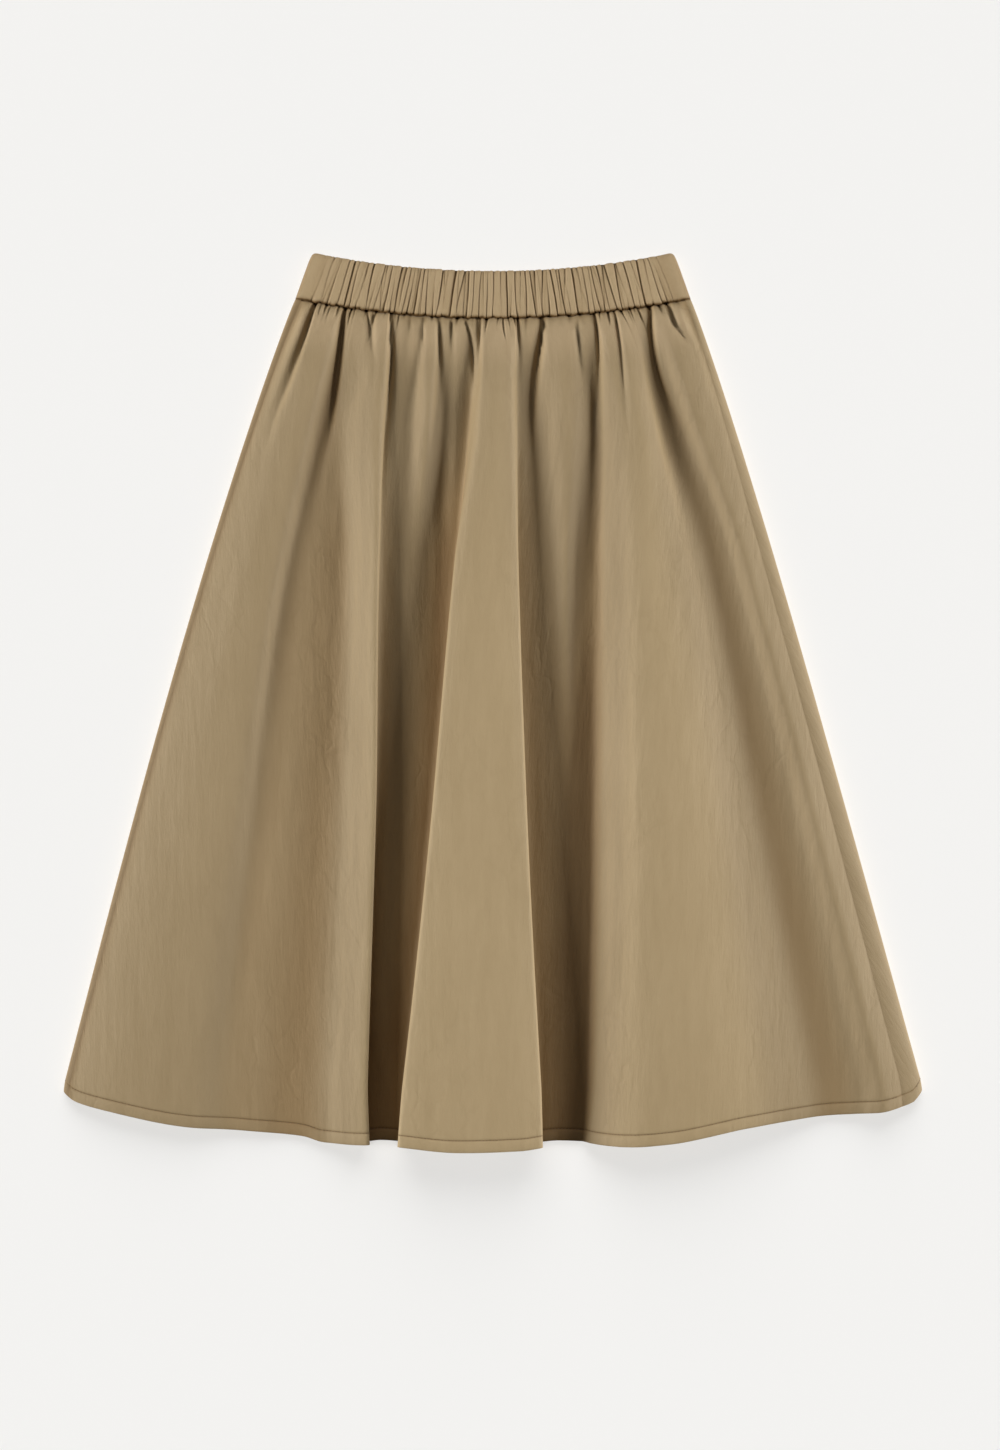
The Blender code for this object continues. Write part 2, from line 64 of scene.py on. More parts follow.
# Share of a panel's length by which it reaches up under the waistband
UNDER_BAND = 0.0036

# Shares of the way from the waist seam to the hem at which every fold line is given
DOWN = (0.0, 0.12, 0.3, 0.6, 1.0)

# Fold lines of the front panel, left to right. across runs from the left side (0) to the right side (1),
# height is the face of the cloth above the floor in mm; both run down the cloth.
FRONT_FOLDS = (
    # name                 across                                height
    ("left side seam",    (0.017, 0.013, 0.010, 0.0075, 0.007), (7.6, 9.0, 9.0, 9.0, 9.0)),
    ("left rise",         (0.036, 0.042, 0.042, 0.036, 0.032), (8.2, 14.5, 14.5, 14.5, 14.0)),
    ("left crest",        (0.080, 0.084, 0.082, 0.082, 0.078), (8.4, 19.2, 19.6, 19.6, 18.6)),
    ("left shoulder",     (0.120, 0.125, 0.127, 0.142, 0.150), (8.2, 17.8, 18.2, 18.4, 16.6)),
    ("left foot",         (0.148, 0.152, 0.150, 0.170, 0.192), (7.2, 7.6, 9.4, 9.6, 10.0)),
    ("valley F rib",      (0.168, 0.176, 0.190, 0.213, 0.226), (7.6, 9.2, 8.4, 8.8, 8.6)),
    ("valley F floor",    (0.184, 0.192, 0.237, 0.266, 0.274), (7.6, 10.6, 7.4, 6.8, 6.0)),
    ("A foot",            (0.202, 0.208, 0.256, 0.291, 0.308), (8.0, 13.0, 11.2, 10.2, 10.4)),
    ("A crest",           (0.230, 0.236, 0.277, 0.3115, 0.330), (8.4, 19.5, 18.6, 17.2, 18.4)),
    ("A shoulder",        (0.250, 0.266, 0.300, 0.336, 0.355), (8.4, 22.5, 25.0, 25.4, 25.6)),
    ("A edge",            (0.262, 0.278, 0.306, 0.340, 0.3585), (7.6, 18.5, 22.4, 24.0, 24.2)),
    ("A under",           (0.267, 0.278, 0.3030, 0.3350, 0.3525), (7.2, 13.0, 13.4, 14.0, 15.0)),
    ("recess 1 left",     (0.276, 0.290, 0.313, 0.340, 0.354), (7.2, 13.4, 9.6, 6.6, 4.2)),
    ("rib 1 foot",        (0.306, 0.332, 0.342, 0.353, 0.362), (7.2, 11.6, 9.6, 7.0, 3.7)),
    ("rib 1 crest",       (0.342, 0.366, 0.366, 0.368, 0.369), (8.4, 19.0, 9.4, 7.2, 3.6)),
    ("rib 1 fall",        (0.364, 0.385, 0.393, 0.386, 0.376), (8.0, 14.4, 6.6, 6.0, 3.7)),
    ("recess 1 right",    (0.400, 0.402, 0.413, 0.402, 0.383), (7.4, 8.6, 4.4, 5.0, 3.9)),
    ("rib 2",             (0.424, 0.425, 0.427, 0.413, 0.391), (8.2, 9.4, 4.6, 4.8, 4.8)),
    ("B foot",            (0.449, 0.451, 0.439, 0.426, 0.401), (7.2, 8.0, 6.6, 10.5, 13.0)),
    ("B left edge",       (0.468, 0.464, 0.4365, 0.418, 0.391), (7.6, 17.5, 24.6, 30.6, 34.6)),
    ("B left shoulder",   (0.481, 0.475, 0.448, 0.430, 0.406), (8.2, 22.2, 27.8, 33.4, 38.0)),
    ("B left crest",      (0.494, 0.490, 0.462, 0.448, 0.436), (8.4, 24.0, 29.0, 34.6, 39.8)),
    ("B middle",          (0.514, 0.513, 0.494, 0.486, 0.484), (8.4, 24.6, 29.8, 35.6, 41.0)),
    ("B right crest",     (0.532, 0.530, 0.521, 0.519, 0.520), (8.4, 23.6, 28.8, 34.4, 39.6)),
    ("B right shoulder",  (0.542, 0.541, 0.537, 0.5385, 0.543), (8.2, 21.6, 27.4, 33.2, 37.8)),
    ("B right edge",      (0.552, 0.551, 0.5475, 0.550, 0.557), (7.6, 16.0, 24.0, 30.0, 34.2)),
    ("B right under",     (0.556, 0.553, 0.543, 0.542, 0.546), (7.2, 12.0, 10.0, 10.5, 12.5)),
    ("recess 2 left",     (0.566, 0.565, 0.557, 0.554, 0.555), (7.4, 10.0, 8.6, 6.8, 5.2)),
    ("recess 2 floor",    (0.594, 0.583, 0.583, 0.573, 0.566), (7.2, 8.6, 8.4, 6.0, 4.8)),
    ("rib 3 rise",        (0.615, 0.610, 0.606, 0.590, 0.576), (8.0, 13.0, 10.0, 5.6, 4.4)),
    ("rib 3 crest",       (0.655, 0.655, 0.632, 0.605, 0.584), (8.4, 20.5, 14.6, 4.8, 4.0)),
    ("rib 3 fall",        (0.705, 0.690, 0.650, 0.619, 0.592), (8.0, 14.5, 8.6, 4.0, 3.6)),
    ("recess 2 right",    (0.740, 0.712, 0.674, 0.633, 0.600), (7.2, 7.4, 5.8, 3.5, 3.4)),
    ("C foot",            (0.750, 0.724, 0.688, 0.646, 0.606), (7.4, 8.8, 7.0, 5.6, 6.0)),
    ("C left edge",       (0.758, 0.735, 0.702, 0.659, 0.614), (8.0, 13.5, 12.4, 12.0, 14.0)),
    ("C shoulder",        (0.770, 0.754, 0.727, 0.680, 0.637), (8.4, 19.0, 20.5, 22.0, 25.5)),
    ("C crest",           (0.790, 0.782, 0.752, 0.707, 0.671), (8.4, 23.0, 27.5, 32.0, 35.5)),
    ("C back",            (0.810, 0.809, 0.786, 0.752, 0.735), (8.4, 24.0, 29.0, 34.5, 36.5)),
    ("C fall",            (0.832, 0.832, 0.828, 0.808, 0.800), (8.2, 18.0, 22.5, 28.5, 28.0)),
    ("D left",            (0.852, 0.849, 0.860, 0.850, 0.848), (7.8, 8.6, 13.0, 15.5, 16.0)),
    ("D floor",           (0.868, 0.868, 0.888, 0.886, 0.886), (7.4, 8.4, 7.8, 7.6, 8.0)),
    ("D right",           (0.884, 0.887, 0.919, 0.924, 0.925), (7.6, 11.0, 10.8, 11.2, 11.2)),
    ("E crest",           (0.914, 0.920, 0.944, 0.949, 0.950), (8.4, 19.5, 18.2, 19.0, 19.4)),
    ("E fall",            (0.962, 0.962, 0.963, 0.964, 0.964), (8.2, 16.0, 15.6, 16.2, 16.4)),
    ("right side seam",   (0.984, 0.981, 0.976, 0.975, 0.974), (7.6, 11.6, 12.4, 12.8, 13.0)),
)

# Fold lines of the back panel, from the left side seam round under the skirt to the right one
BACK_FOLDS = (
    # name                 across                                height
    ("left side seam",    (0.017, 0.013, 0.010, 0.0075, 0.007), (7.6, 9.0, 9.0, 9.0, 9.0)),
    ("left roll over",    (0.006, 0.004, 0.003, 0.0022, 0.002), (6.6, 7.2, 7.2, 7.2, 7.2)),
    ("left side",         (0.000, 0.000, 0.000, 0.000, 0.000), (4.0, 4.2, 4.2, 4.2, 4.2)),
    ("left roll under",   (0.006, 0.004, 0.003, 0.0022, 0.002), (1.4, 1.4, 1.4, 1.4, 1.4)),
    ("left underside",    (0.020, 0.015, 0.012, 0.0095, 0.009), (0.0, 0.0, 0.0, 0.0, 0.0)),
    ("left flat",         (0.060, 0.050, 0.050, 0.050, 0.040), (0.0, 0.0, 0.0, 0.0, 0.0)),
    ("below left flute",  (0.100, 0.100, 0.100, 0.105, 0.105), (0.0, 1.4, 2.0, 2.2, 2.4)),
    ("flat F",            (0.150, 0.155, 0.155, 0.160, 0.165), (0.0, 0.0, 0.0, 0.0, 0.0)),
    ("flat F right",      (0.200, 0.205, 0.225, 0.262, 0.272), (0.0, 0.0, 0.0, 0.0, 0.0)),
    ("below A",           (0.245, 0.250, 0.280, 0.308, 0.322), (0.0, 1.6, 3.0, 4.4, 6.0)),
    ("flat 1",            (0.290, 0.293, 0.320, 0.350, 0.362), (0.0, 0.0, 0.0, 0.0, 0.0)),
    ("flat 1 right",      (0.430, 0.430, 0.425, 0.410, 0.396), (0.0, 0.0, 0.0, 0.0, 0.0)),
    ("below B left",      (0.470, 0.468, 0.455, 0.440, 0.428), (0.0, 1.2, 2.6, 4.0, 5.4)),
    ("below B middle",    (0.500, 0.498, 0.490, 0.482, 0.475), (0.0, 0.4, 0.8, 1.2, 1.6)),
    ("below B right",     (0.530, 0.528, 0.524, 0.522, 0.520), (0.0, 1.2, 2.2, 3.4, 4.6)),
    ("flat 2",            (0.565, 0.565, 0.565, 0.570, 0.570), (0.0, 0.0, 0.0, 0.0, 0.0)),
    ("flat 2 right",      (0.720, 0.720, 0.690, 0.650, 0.618), (0.0, 0.0, 0.0, 0.0, 0.0)),
    ("below C",           (0.775, 0.775, 0.745, 0.705, 0.680), (0.0, 1.8, 3.2, 4.8, 6.4)),
    ("below C right",     (0.810, 0.810, 0.800, 0.775, 0.760), (0.0, 0.6, 1.0, 1.6, 2.0)),
    ("flat D",            (0.850, 0.850, 0.850, 0.845, 0.840), (0.0, 0.0, 0.0, 0.0, 0.0)),
    ("flat E",            (0.930, 0.930, 0.935, 0.935, 0.935), (0.0, 0.0, 0.0, 0.0, 0.0)),
    ("right underside",   (0.980, 0.985, 0.988, 0.9905, 0.991), (0.0, 0.0, 0.0, 0.0, 0.0)),
    ("right roll under",  (0.994, 0.996, 0.997, 0.9978, 0.998), (1.4, 1.4, 1.4, 1.4, 1.4)),
    ("right side",        (1.000, 1.000, 1.000, 1.000, 1.000), (4.0, 4.4, 4.4, 4.4, 4.4)),
    ("right roll over",   (0.9955, 0.9958, 0.996, 0.9965, 0.997), (6.4, 7.6, 7.8, 8.0, 8.0)),
    ("right strip",       (0.990, 0.989, 0.988, 0.988, 0.988), (7.4, 10.0, 10.6, 11.0, 11.2)),
    ("right side seam",   (0.984, 0.981, 0.976, 0.975, 0.974), (7.6, 11.6, 12.4, 12.8, 13.0)),
)

# The hem's edge: place across, and y in mm
HEM_EDGE = (
    (0.0, -360.0), (0.015, -368.0), (0.06, -377.0), (0.15, -391.0), (0.21, -395.0), (0.28, -400.8),
    (0.305, -405.8), (0.33, -406.2), (0.355, -405.6), (0.37, -404.5), (0.39, -405.4), (0.46, -409.9),
    (0.53, -408.6), (0.575, -405.0), (0.64, -406.6), (0.70, -403.0), (0.79, -390.0), (0.87, -382.5),
    (0.94, -378.0), (0.985, -369.5), (1.0, -359.6),
)

# Creases of the front panel below the waistband: where each starts at the seam, where it has bent to half
# way, where it ends, the share of the length where it has faded, its depth in mm, and how far its left
# and right slopes reach in mm
FRONT_CREASES = (
    # seam    middle   end      fades  depth  left  right
    (0.0580, 0.0610, 0.0550, 0.115, 10.1, 6.4, 2.1),
    (0.0720, 0.0740, 0.0760, 0.018, 2.4, 1.3, 1.3),
    (0.0970, 0.0980, 0.0990, 0.020, 2.6, 1.6, 1.2),
    (0.1170, 0.1190, 0.1210, 0.018, 2.2, 1.2, 1.6),
    (0.1350, 0.1520, 0.1640, 0.122, 11.6, 5.4, 2.8),
    (0.1500, 0.1520, 0.1540, 0.022, 3.0, 1.2, 1.4),
    (0.1900, 0.2120, 0.2320, 0.055, 4.6, 2.4, 2.4),
    (0.2040, 0.2120, 0.2200, 0.030, 3.4, 1.6, 2.0),
    (0.2490, 0.2680, 0.2800, 0.105, 9.2, 1.9, 4.4),
    (0.2700, 0.2720, 0.2740, 0.020, 2.4, 1.4, 1.4),
    (0.2970, 0.2990, 0.2980, 0.050, 4.4, 2.2, 2.2),
    (0.3290, 0.3360, 0.3300, 0.100, 4.2, 2.6, 2.6),
    (0.3660, 0.3800, 0.3830, 0.115, 7.2, 1.9, 4.9),
    (0.3970, 0.4010, 0.4040, 0.034, 6.5, 1.6, 1.8),
    (0.4280, 0.4540, 0.4600, 0.085, 5.0, 2.0, 4.0),
    (0.4710, 0.4702, 0.4620, 0.105, 6.0, 5.0, 1.2),
    (0.5249, 0.5260, 0.5300, 0.026, 3.6, 1.2, 1.2),
    (0.5590, 0.5600, 0.5600, 0.040, 6.0, 1.1, 2.6),
    (0.5780, 0.5775, 0.5770, 0.020, 2.0, 1.4, 1.4),
    (0.6260, 0.6035, 0.5860, 0.110, 11.9, 4.4, 2.1),
    (0.6446, 0.6420, 0.6394, 0.026, 2.8, 1.8, 1.8),
    (0.6640, 0.6640, 0.6640, 0.020, 1.6, 1.8, 1.8),
    (0.7000, 0.6985, 0.6980, 0.062, 8.4, 2.0, 2.6),
    (0.7220, 0.7216, 0.7213, 0.018, 2.0, 1.4, 1.4),
    (0.7480, 0.7430, 0.7230, 0.105, 6.0, 2.4, 2.0),
    (0.7810, 0.7815, 0.7820, 0.018, 3.0, 1.4, 1.4),
    (0.7990, 0.7930, 0.7830, 0.100, 6.0, 3.0, 2.2),
    (0.8320, 0.8330, 0.8350, 0.018, 1.8, 1.3, 1.3),
    (0.8560, 0.8600, 0.8640, 0.030, 3.0, 1.3, 2.6),
    (0.8930, 0.8680, 0.8780, 0.126, 8.8, 5.4, 2.4),
    (0.9120, 0.9120, 0.9120, 0.016, 2.0, 1.4, 1.4),
    (0.9340, 0.9340, 0.9500, 0.050, 10.6, 1.8, 3.4),
)

# Shares of the length of the rows next to the waist seam, from under the waistband down
SEAM_ROWS = (-UNDER_BAND, -0.0016, 0.0, 0.0007, 0.0015, 0.0025, 0.0037, 0.0052, 0.0070, 0.0092, 0.0118,
             0.0148, 0.0182, 0.0220)

# Distances in mm of the rows over the turned-up hem: from its stitches, then from its edge
STITCH_ROWS = (2.4, 1.0, 0.45, 0.0, -0.45, -1.0, -2.6)
EDGE_ROWS = (2.6, 1.1, 0.35, 0.0)

# The row that the hem's stitches lie on, counted from the hem's edge
HEM_STITCH_ROW = 8

# Rows of each panel between those two ends, and mm of cloth from one column to the next
FRONT_ROWS = 72
BACK_ROWS = 66
FRONT_STEP = 1.9
BACK_STEP = 4.4

# Lowest that the front panel and its creases go, in mm above the floor
LOWEST_FACE = 3.3
LOWEST_CREASE = 4.4

# How many small puckers the front has below the waistband, and how many gathers the back has there
FRONT_PINCHES = 70
BACK_GATHERS = 22

# Spans between the back panel's fold lines that lie underneath, from the first to before the last
BELOW_SPANS = (4, len(BACK_FOLDS) - 5)

# Columns of the waistband's front and back between its rounded sides, the degrees at which the sides are
# cut, and the gap in mm between its two halves
BAND_COLUMNS = (620, 360)
SIDE_TURNS = (0, 8, 16, 26, 38, 52, 68)
BAND_GAP = 0.25

# Flat width and length of each sheet in m, and the area in m2 of the two panels, which narrow upwards
FRONT_FLAT, FRONT_AREA = (0.90, 0.77), 0.515
BACK_FLAT, BACK_AREA = (0.845, 0.765), 0.474
BAND_FLAT = (0.405, 0.045)

# How dark the cloth is painted as shade at the left and right ends of every row, from the end inwards
FRONT_SIDE_SHADE = ((0.40, 0.18), (0.10,))
BACK_SIDE_SHADE = ((0.50, 0.46, 0.42, 0.30), (0.10,))
BAND_SIDE_SHADE = ((0.45, 0.42, 0.38, 0.32, 0.22, 0.10),) * 2

# Rows of the waistband: share of its height, and how far the face rolls in there in mm
BAND_ROWS = (
    (0.0, 2.4), (0.008, 1.5), (0.018, 0.9), (0.034, 0.45), (0.060, 0.20), (0.095, 0.06), (0.14, 0.0),
    (0.20, 0.0), (0.27, 0.0), (0.34, 0.0), (0.41, 0.0), (0.48, 0.0), (0.55, 0.0), (0.62, 0.0),
    (0.69, 0.0), (0.76, 0.0), (0.82, 0.0), (0.87, 0.05), (0.91, 0.16), (0.945, 0.4), (0.97, 0.8),
    (0.988, 1.5), (1.0, 2.6),
)

# Main gathers of the waistband: place across, lean from the lower edge to the upper one, depth in mm,
# and how much deeper the groove is at the upper edge than at the lower one
BAND_GATHERS = (
    # across  lean   depth  upper
    (0.045, 0.006, 0.5, -0.4),
    (0.084, 0.008, 0.9, -0.5),
    (0.122, -0.006, 2.1, 0.0),
    (0.155, 0.010, 0.9, 0.5),
    (0.176, -0.004, 1.4, 0.5),
    (0.201, 0.004, 1.0, 0.2),
    (0.224, 0.006, 1.1, -0.3),
    (0.250, -0.002, 1.8, 0.3),
    (0.272, 0.006, 1.1, 0.0),
    (0.302, 0.008, 1.4, -0.2),
    (0.326, -0.010, 1.0, -0.5),
    (0.359, 0.008, 1.5, 0.5),
    (0.396, 0.012, 1.9, 0.2),
    (0.412, 0.016, 1.0, 0.7),
    (0.434, 0.006, 1.2, 0.0),
    (0.466, 0.004, 1.1, -0.2),
    (0.500, 0.000, 0.9, 0.3),
    (0.538, 0.004, 1.8, -0.3),
    (0.560, -0.004, 1.1, 0.2),
    (0.586, 0.002, 1.2, 0.0),
    (0.605, -0.006, 1.5, -0.2),
    (0.630, 0.008, 1.3, 0.5),
    (0.660, -0.006, 1.7, 0.0),
    (0.682, -0.002, 1.6, -0.1),
    (0.715, -0.004, 1.8, 0.2),
    (0.744, 0.004, 1.1, -0.2),
    (0.770, -0.006, 1.2, 0.0),
    (0.784, -0.004, 1.6, 0.3),
    (0.810, -0.006, 1.4, 0.2),
    (0.830, 0.004, 1.6, 0.2),
    (0.858, -0.002, 1.3, 0.2),
    (0.890, 0.012, 1.9, 0.0),
    (0.927, -0.006, 1.0, -0.3),
    (0.952, -0.006, 0.8, -0.2),
)


class SkirtSizes(PropertyGroup):
    """Real sizes of the skirt as it lies."""

    waist_seam_half: FloatProperty(
        name="Waist seam half width", description="Half the flat width of the waist at the seam",
        default=0.1813, min=0.1, unit="LENGTH", subtype="DISTANCE")
    waist_seam_side: FloatProperty(
        name="Waist seam side", description="How far up the seam's ends lie",
        default=0.3675, unit="LENGTH", subtype="DISTANCE")
    waist_seam_sag: FloatProperty(
        name="Waist seam sag", description="How far the seam's middle lies below its ends",
        default=0.0179, unit="LENGTH", subtype="DISTANCE")
    band_top_half: FloatProperty(
        name="Waistband top half width", description="Half the flat width of the waistband's upper edge",
        default=0.1662, min=0.1, unit="LENGTH", subtype="DISTANCE")
    band_top_side: FloatProperty(
        name="Waistband top side", description="How far up the waistband's upper corners lie",
        default=0.4099, unit="LENGTH", subtype="DISTANCE")
    band_top_sag: FloatProperty(
        name="Waistband top sag", description="How far the upper edge's middle lies below its ends",
        default=0.0168, unit="LENGTH", subtype="DISTANCE")
    band_thick: FloatProperty(
        name="Waistband thickness", description="Front and back of the waistband together",
        default=0.0104, min=0.006, unit="LENGTH", subtype="DISTANCE")
    band_edge: FloatProperty(
        name="Waistband side roundness",
        description="Width over which the waistband rounds off at its sides",
        default=0.006, min=0.002, unit="LENGTH", subtype="DISTANCE")
    hem_half: FloatProperty(
        name="Hem half width", description="Half the flat width of the hem",
        default=0.3956, min=0.2, unit="LENGTH", subtype="DISTANCE")
    hem_corner: FloatProperty(
        name="Hem corner", description="Where along Y the side folds end at the hem",
        default=-0.36, unit="LENGTH", subtype="DISTANCE")
    side_bulge: FloatProperty(
        name="Side bulge", description="How far the sides bow outwards",
        default=0.009, unit="LENGTH", subtype="DISTANCE")
    centre_sway: FloatProperty(
        name="Centre sway", description="How far the lay swings sideways at mid length",
        default=-0.002, unit="LENGTH", subtype="DISTANCE")
    panel_wall: FloatProperty(
        name="Cloth thickness", description="Thickness of one layer of the panels' cloth",
        default=0.0009, min=0.0003, max=0.002, unit="LENGTH", subtype="DISTANCE")
    casing_wall: FloatProperty(
        name="Casing thickness", description="Thickness of one side of the waistband",
        default=0.0020, min=0.001, max=0.003, unit="LENGTH", subtype="DISTANCE")
    hem_depth: FloatProperty(
        name="Hem depth", description="From the hem's edge to its line of stitches",
        default=0.011, min=0.003, unit="LENGTH", subtype="DISTANCE")
    puff_height: FloatProperty(
        name="Puff height", description="How far the cloth swells just below the waistband",
        default=0.006, min=0.0, unit="LENGTH", subtype="DISTANCE")
    crinkle_height: FloatProperty(
        name="Crinkle height", description="Height of the soft unevenness of the cloth",
        default=0.0005, min=0.0, unit="LENGTH", subtype="DISTANCE")


class StitchSizes(PropertyGroup):
    """Sizes of the sewing."""

    length: FloatProperty(
        name="Stitch length", description="Length of the thread that shows in one stitch",
        default=0.0024, min=0.001, unit="LENGTH", subtype="DISTANCE")
    pitch: FloatProperty(
        name="Stitch pitch", description="Distance from one stitch to the next",
        default=0.0031, min=0.0015, unit="LENGTH", subtype="DISTANCE")
    radius: FloatProperty(
        name="Thread radius", description="Radius of the thread",
        default=0.00028, min=0.0001, unit="LENGTH", subtype="DISTANCE")
    seed: IntProperty(
        name="Seed", description="Fixed seed for the small turn of each stitch", default=4, min=0)


class SkirtColours(PropertyGroup):
    """Colours of the cloth and thread."""

    cloth: FloatVectorProperty(
        name="Cloth", description="Tan of the cloth", subtype="COLOR", size=4, min=0.0, max=1.0,
        default=(0.325, 0.2365, 0.1255, 1.0))
    # Paler tan for random dye tone, and a painted highlight on the raised crinkles and threads
    cloth_dye_and_highlight: FloatVectorProperty(
        name="Cloth, raised", description="Slightly paler tan on the raised threads", subtype="COLOR",
        size=4, min=0.0, max=1.0, default=(0.364, 0.268, 0.1475, 1.0))
    thread: FloatVectorProperty(
        name="Thread", description="Sewing thread", subtype="COLOR", size=4, min=0.0, max=1.0,
        default=(0.15, 0.10, 0.05, 1.0))
    floor: FloatVectorProperty(
        name="Floor", description="Pale floor", subtype="COLOR", size=4, min=0.0, max=1.0,
        default=(0.87, 0.862, 0.845, 1.0))


class StudioSizes(PropertyGroup):
    """Camera and lights."""

    camera_height: FloatProperty(
        name="Camera height", description="How high the camera hangs over the floor",
        default=2.1, min=1.0, unit="LENGTH", subtype="DISTANCE")
    camera_x: FloatProperty(
        name="Camera X", description="Where the middle of the picture lies on X",
        default=0.00644, unit="LENGTH", subtype="DISTANCE")
    camera_y: FloatProperty(
        name="Camera Y", description="Where the middle of the picture lies on Y",
        default=-0.02346, unit="LENGTH", subtype="DISTANCE")
    view_height: FloatProperty(
        name="Picture height", description="Height of the floor that the picture takes in",
        default=1.334, min=0.5, unit="LENGTH", subtype="DISTANCE")
    left_power: FloatProperty(
        name="Left light", description="Power of the softbox on the left, in watts", default=362.0, min=0.0)
    right_power: FloatProperty(
        name="Right light", description="Power of the softbox on the right, in watts",
        default=330.0, min=0.0)
    waist_power: FloatProperty(
        name="Waist light", description="Power of the softbox beyond the waist, in watts",
        default=42.0, min=0.0)
    floor_light: FloatProperty(
        name="Floor light", description="Strength of the light from above that keeps the floor pale",
        default=2.52, min=0.0)
    shadow_light: FloatProperty(
        name="Shadow light", description="Strength of the low wide light that shades the floor at the hem",
        default=1.30, min=0.0)
    sky: FloatProperty(
        name="Room light", description="Even light from all round", default=0.03, min=0.0)


def smooth_value(keys, values, at):
    """Smooth, never overshooting value at `at`. values is rows x keys; gives one value for each row."""
    keys = np.asarray(keys, float)
    values = np.asarray(values, float)
    at = min(max(at, keys[0]), keys[-1])
    span = min(int(np.searchsorted(keys, at, side="right")) - 1, len(keys) - 2)
    width = np.diff(keys)
    slope = np.diff(values, axis=-1) / width
    before = slope[..., :-1]
    after = slope[..., 1:]
    product = before * after
    total = before + after
    safe = np.where(np.abs(total) < 1e-12, 1.0, total)
    inner = np.where(product > 0.0, 2.0 * product / safe, 0.0)
    tangent = np.concatenate([slope[..., :1], inner, slope[..., -1:]], axis=-1)
    f = (at - keys[span]) / width[span]
    f2, f3 = f * f, f * f * f
    return (values[..., span] * (2 * f3 - 3 * f2 + 1)
            + tangent[..., span] * width[span] * (f3 - 2 * f2 + f)
            + values[..., span + 1] * (3 * f2 - 2 * f3)
            + tangent[..., span + 1] * width[span] * (f3 - f2))


def smooth_curve(keys, values, at):
    """The same smooth curve, for many places at once."""
    return np.array([smooth_value(keys, values, float(a)) for a in np.atleast_1d(at)])


def hem_line():
    """Fine table of the hem's edge, to read between."""
    places = np.linspace(0.0, 1.0, 801)
    keys = [row[0] for row in HEM_EDGE]
    values = [row[1] * MM for row in HEM_EDGE]
    return places, smooth_curve(keys, values, places)


HEM_PLACES, HEM_YS = hem_line()


def lay_points(sizes, across, down):
    """Plan position of the cloth: across 0 left to 1 right, down 0 at the waist seam to 1 at the hem."""
    across = np.asarray(across, float)
    top = sizes.waist_seam_side - sizes.waist_seam_sag * (1.0 - (2.0 * across - 1.0) ** 2)
    hem = np.interp(across, HEM_PLACES, HEM_YS)
    y = top + down * (hem - top)
    share = (sizes.waist_seam_side - y) / (sizes.waist_seam_side - sizes.hem_corner)
    eased = 1.0 - 0.02 * np.exp(-(np.maximum(share, 0.98) - 0.98) / 0.02)
    share = np.where(share > 0.98, eased, share)
    inside = np.clip(share, 0.0, 1.0)
    half = sizes.waist_seam_half + (sizes.hem_half - sizes.waist_seam_half) * share
    half = half + sizes.side_bulge * np.sin(np.pi * inside ** 0.7)
    x = (2.0 * across - 1.0) * half + sizes.centre_sway * np.sin(np.pi * inside)
    return x, y


def section_width(sizes, down):
    """Width in mm of the skirt at one share of its length."""
    x, _ = lay_points(sizes, [0.0, 1.0], down)
    return float(x[1] - x[0]) / MM


def fold_knots(folds, down):
    """Places across and heights of all the fold lines at one share of the length."""
    across = smooth_value(DOWN, [row[1] for row in folds], down)
    height = smooth_value(DOWN, [row[2] for row in folds], down)
    return across, height


def run_through(across, height, scale, spans, shares):
    """Centripetal spline over the fold lines, read at each column."""
    points = np.stack([across * scale, height], axis=1)
    first = 2.0 * points[0] - points[1]
    last = 2.0 * points[-1] - points[-2]
    points = np.vstack([first, points, last])
    gaps = np.maximum(np.hypot(*np.diff(points, axis=0).T), 1e-6) ** 0.5
    a, b, c, d = (points[spans + k] for k in range(4))
    g0, g1, g2 = (gaps[spans + k][:, None] for k in range(3))
    leave = ((b - a) / g0 - (c - a) / (g0 + g1) + (c - b) / g1) * g1
    arrive = ((c - b) / g1 - (d - b) / (g1 + g2) + (d - c) / g2) * g1
    f = shares[:, None]
    f2, f3 = f * f, f * f * f
    run = (b * (2 * f3 - 3 * f2 + 1) + leave * (f3 - 2 * f2 + f)
           + c * (3 * f2 - 2 * f3) + arrive * (f3 - f2))
    return run[:, 0] / scale, run[:, 1]


def spread_columns(sizes, folds, step):
    """Columns over the fold lines, about `step` mm of cloth apart a little past half way down."""
    down = DOWN[3]
    across, height = fold_knots(folds, down)
    scale = section_width(sizes, down)
    spans = [0]
    shares = [0.0]
    for span in range(len(folds) - 1):
        fine = np.linspace(0.0, 1.0, 9)
        a, h = run_through(across, height, scale, np.full(9, span), fine)
        length = float(np.hypot(np.diff(a * scale), np.diff(h)).sum())
        count = max(2, round(length / step))
        spans += [span] * count
        shares += [(k + 1) / count for k in range(count)]
    return np.array(spans), np.array(shares)


def crease_depth(sizes, across, down, creases):
    """Depth in mm of the gather creases along one row of the cloth."""
    here = max(down, 0.0)
    width_here = section_width(sizes, here)
    dent = np.zeros_like(across)
    for seam, middle, end, fades, depth, left, right in creases:
        f = here / fades
        if f > 1.8:
            continue
        g = min(f, 1.2)
        centre = seam * (2 * g - 1) * (g - 1) + middle * 4 * g * (1 - g) + end * g * (2 * g - 1)
        open_up = 0.5 + 0.7 * min(f, 1.2)
        strength = depth * (0.5 + 0.5 * min(f / 0.2, 1.0)) * math.exp(-(1.05 * f) ** 2.2)
        off = (across - centre) * width_here
        slope = np.where(off < 0.0, left, right) * open_up
        dent += strength * np.exp(-np.abs(off / slope) ** 1.4)
    return dent


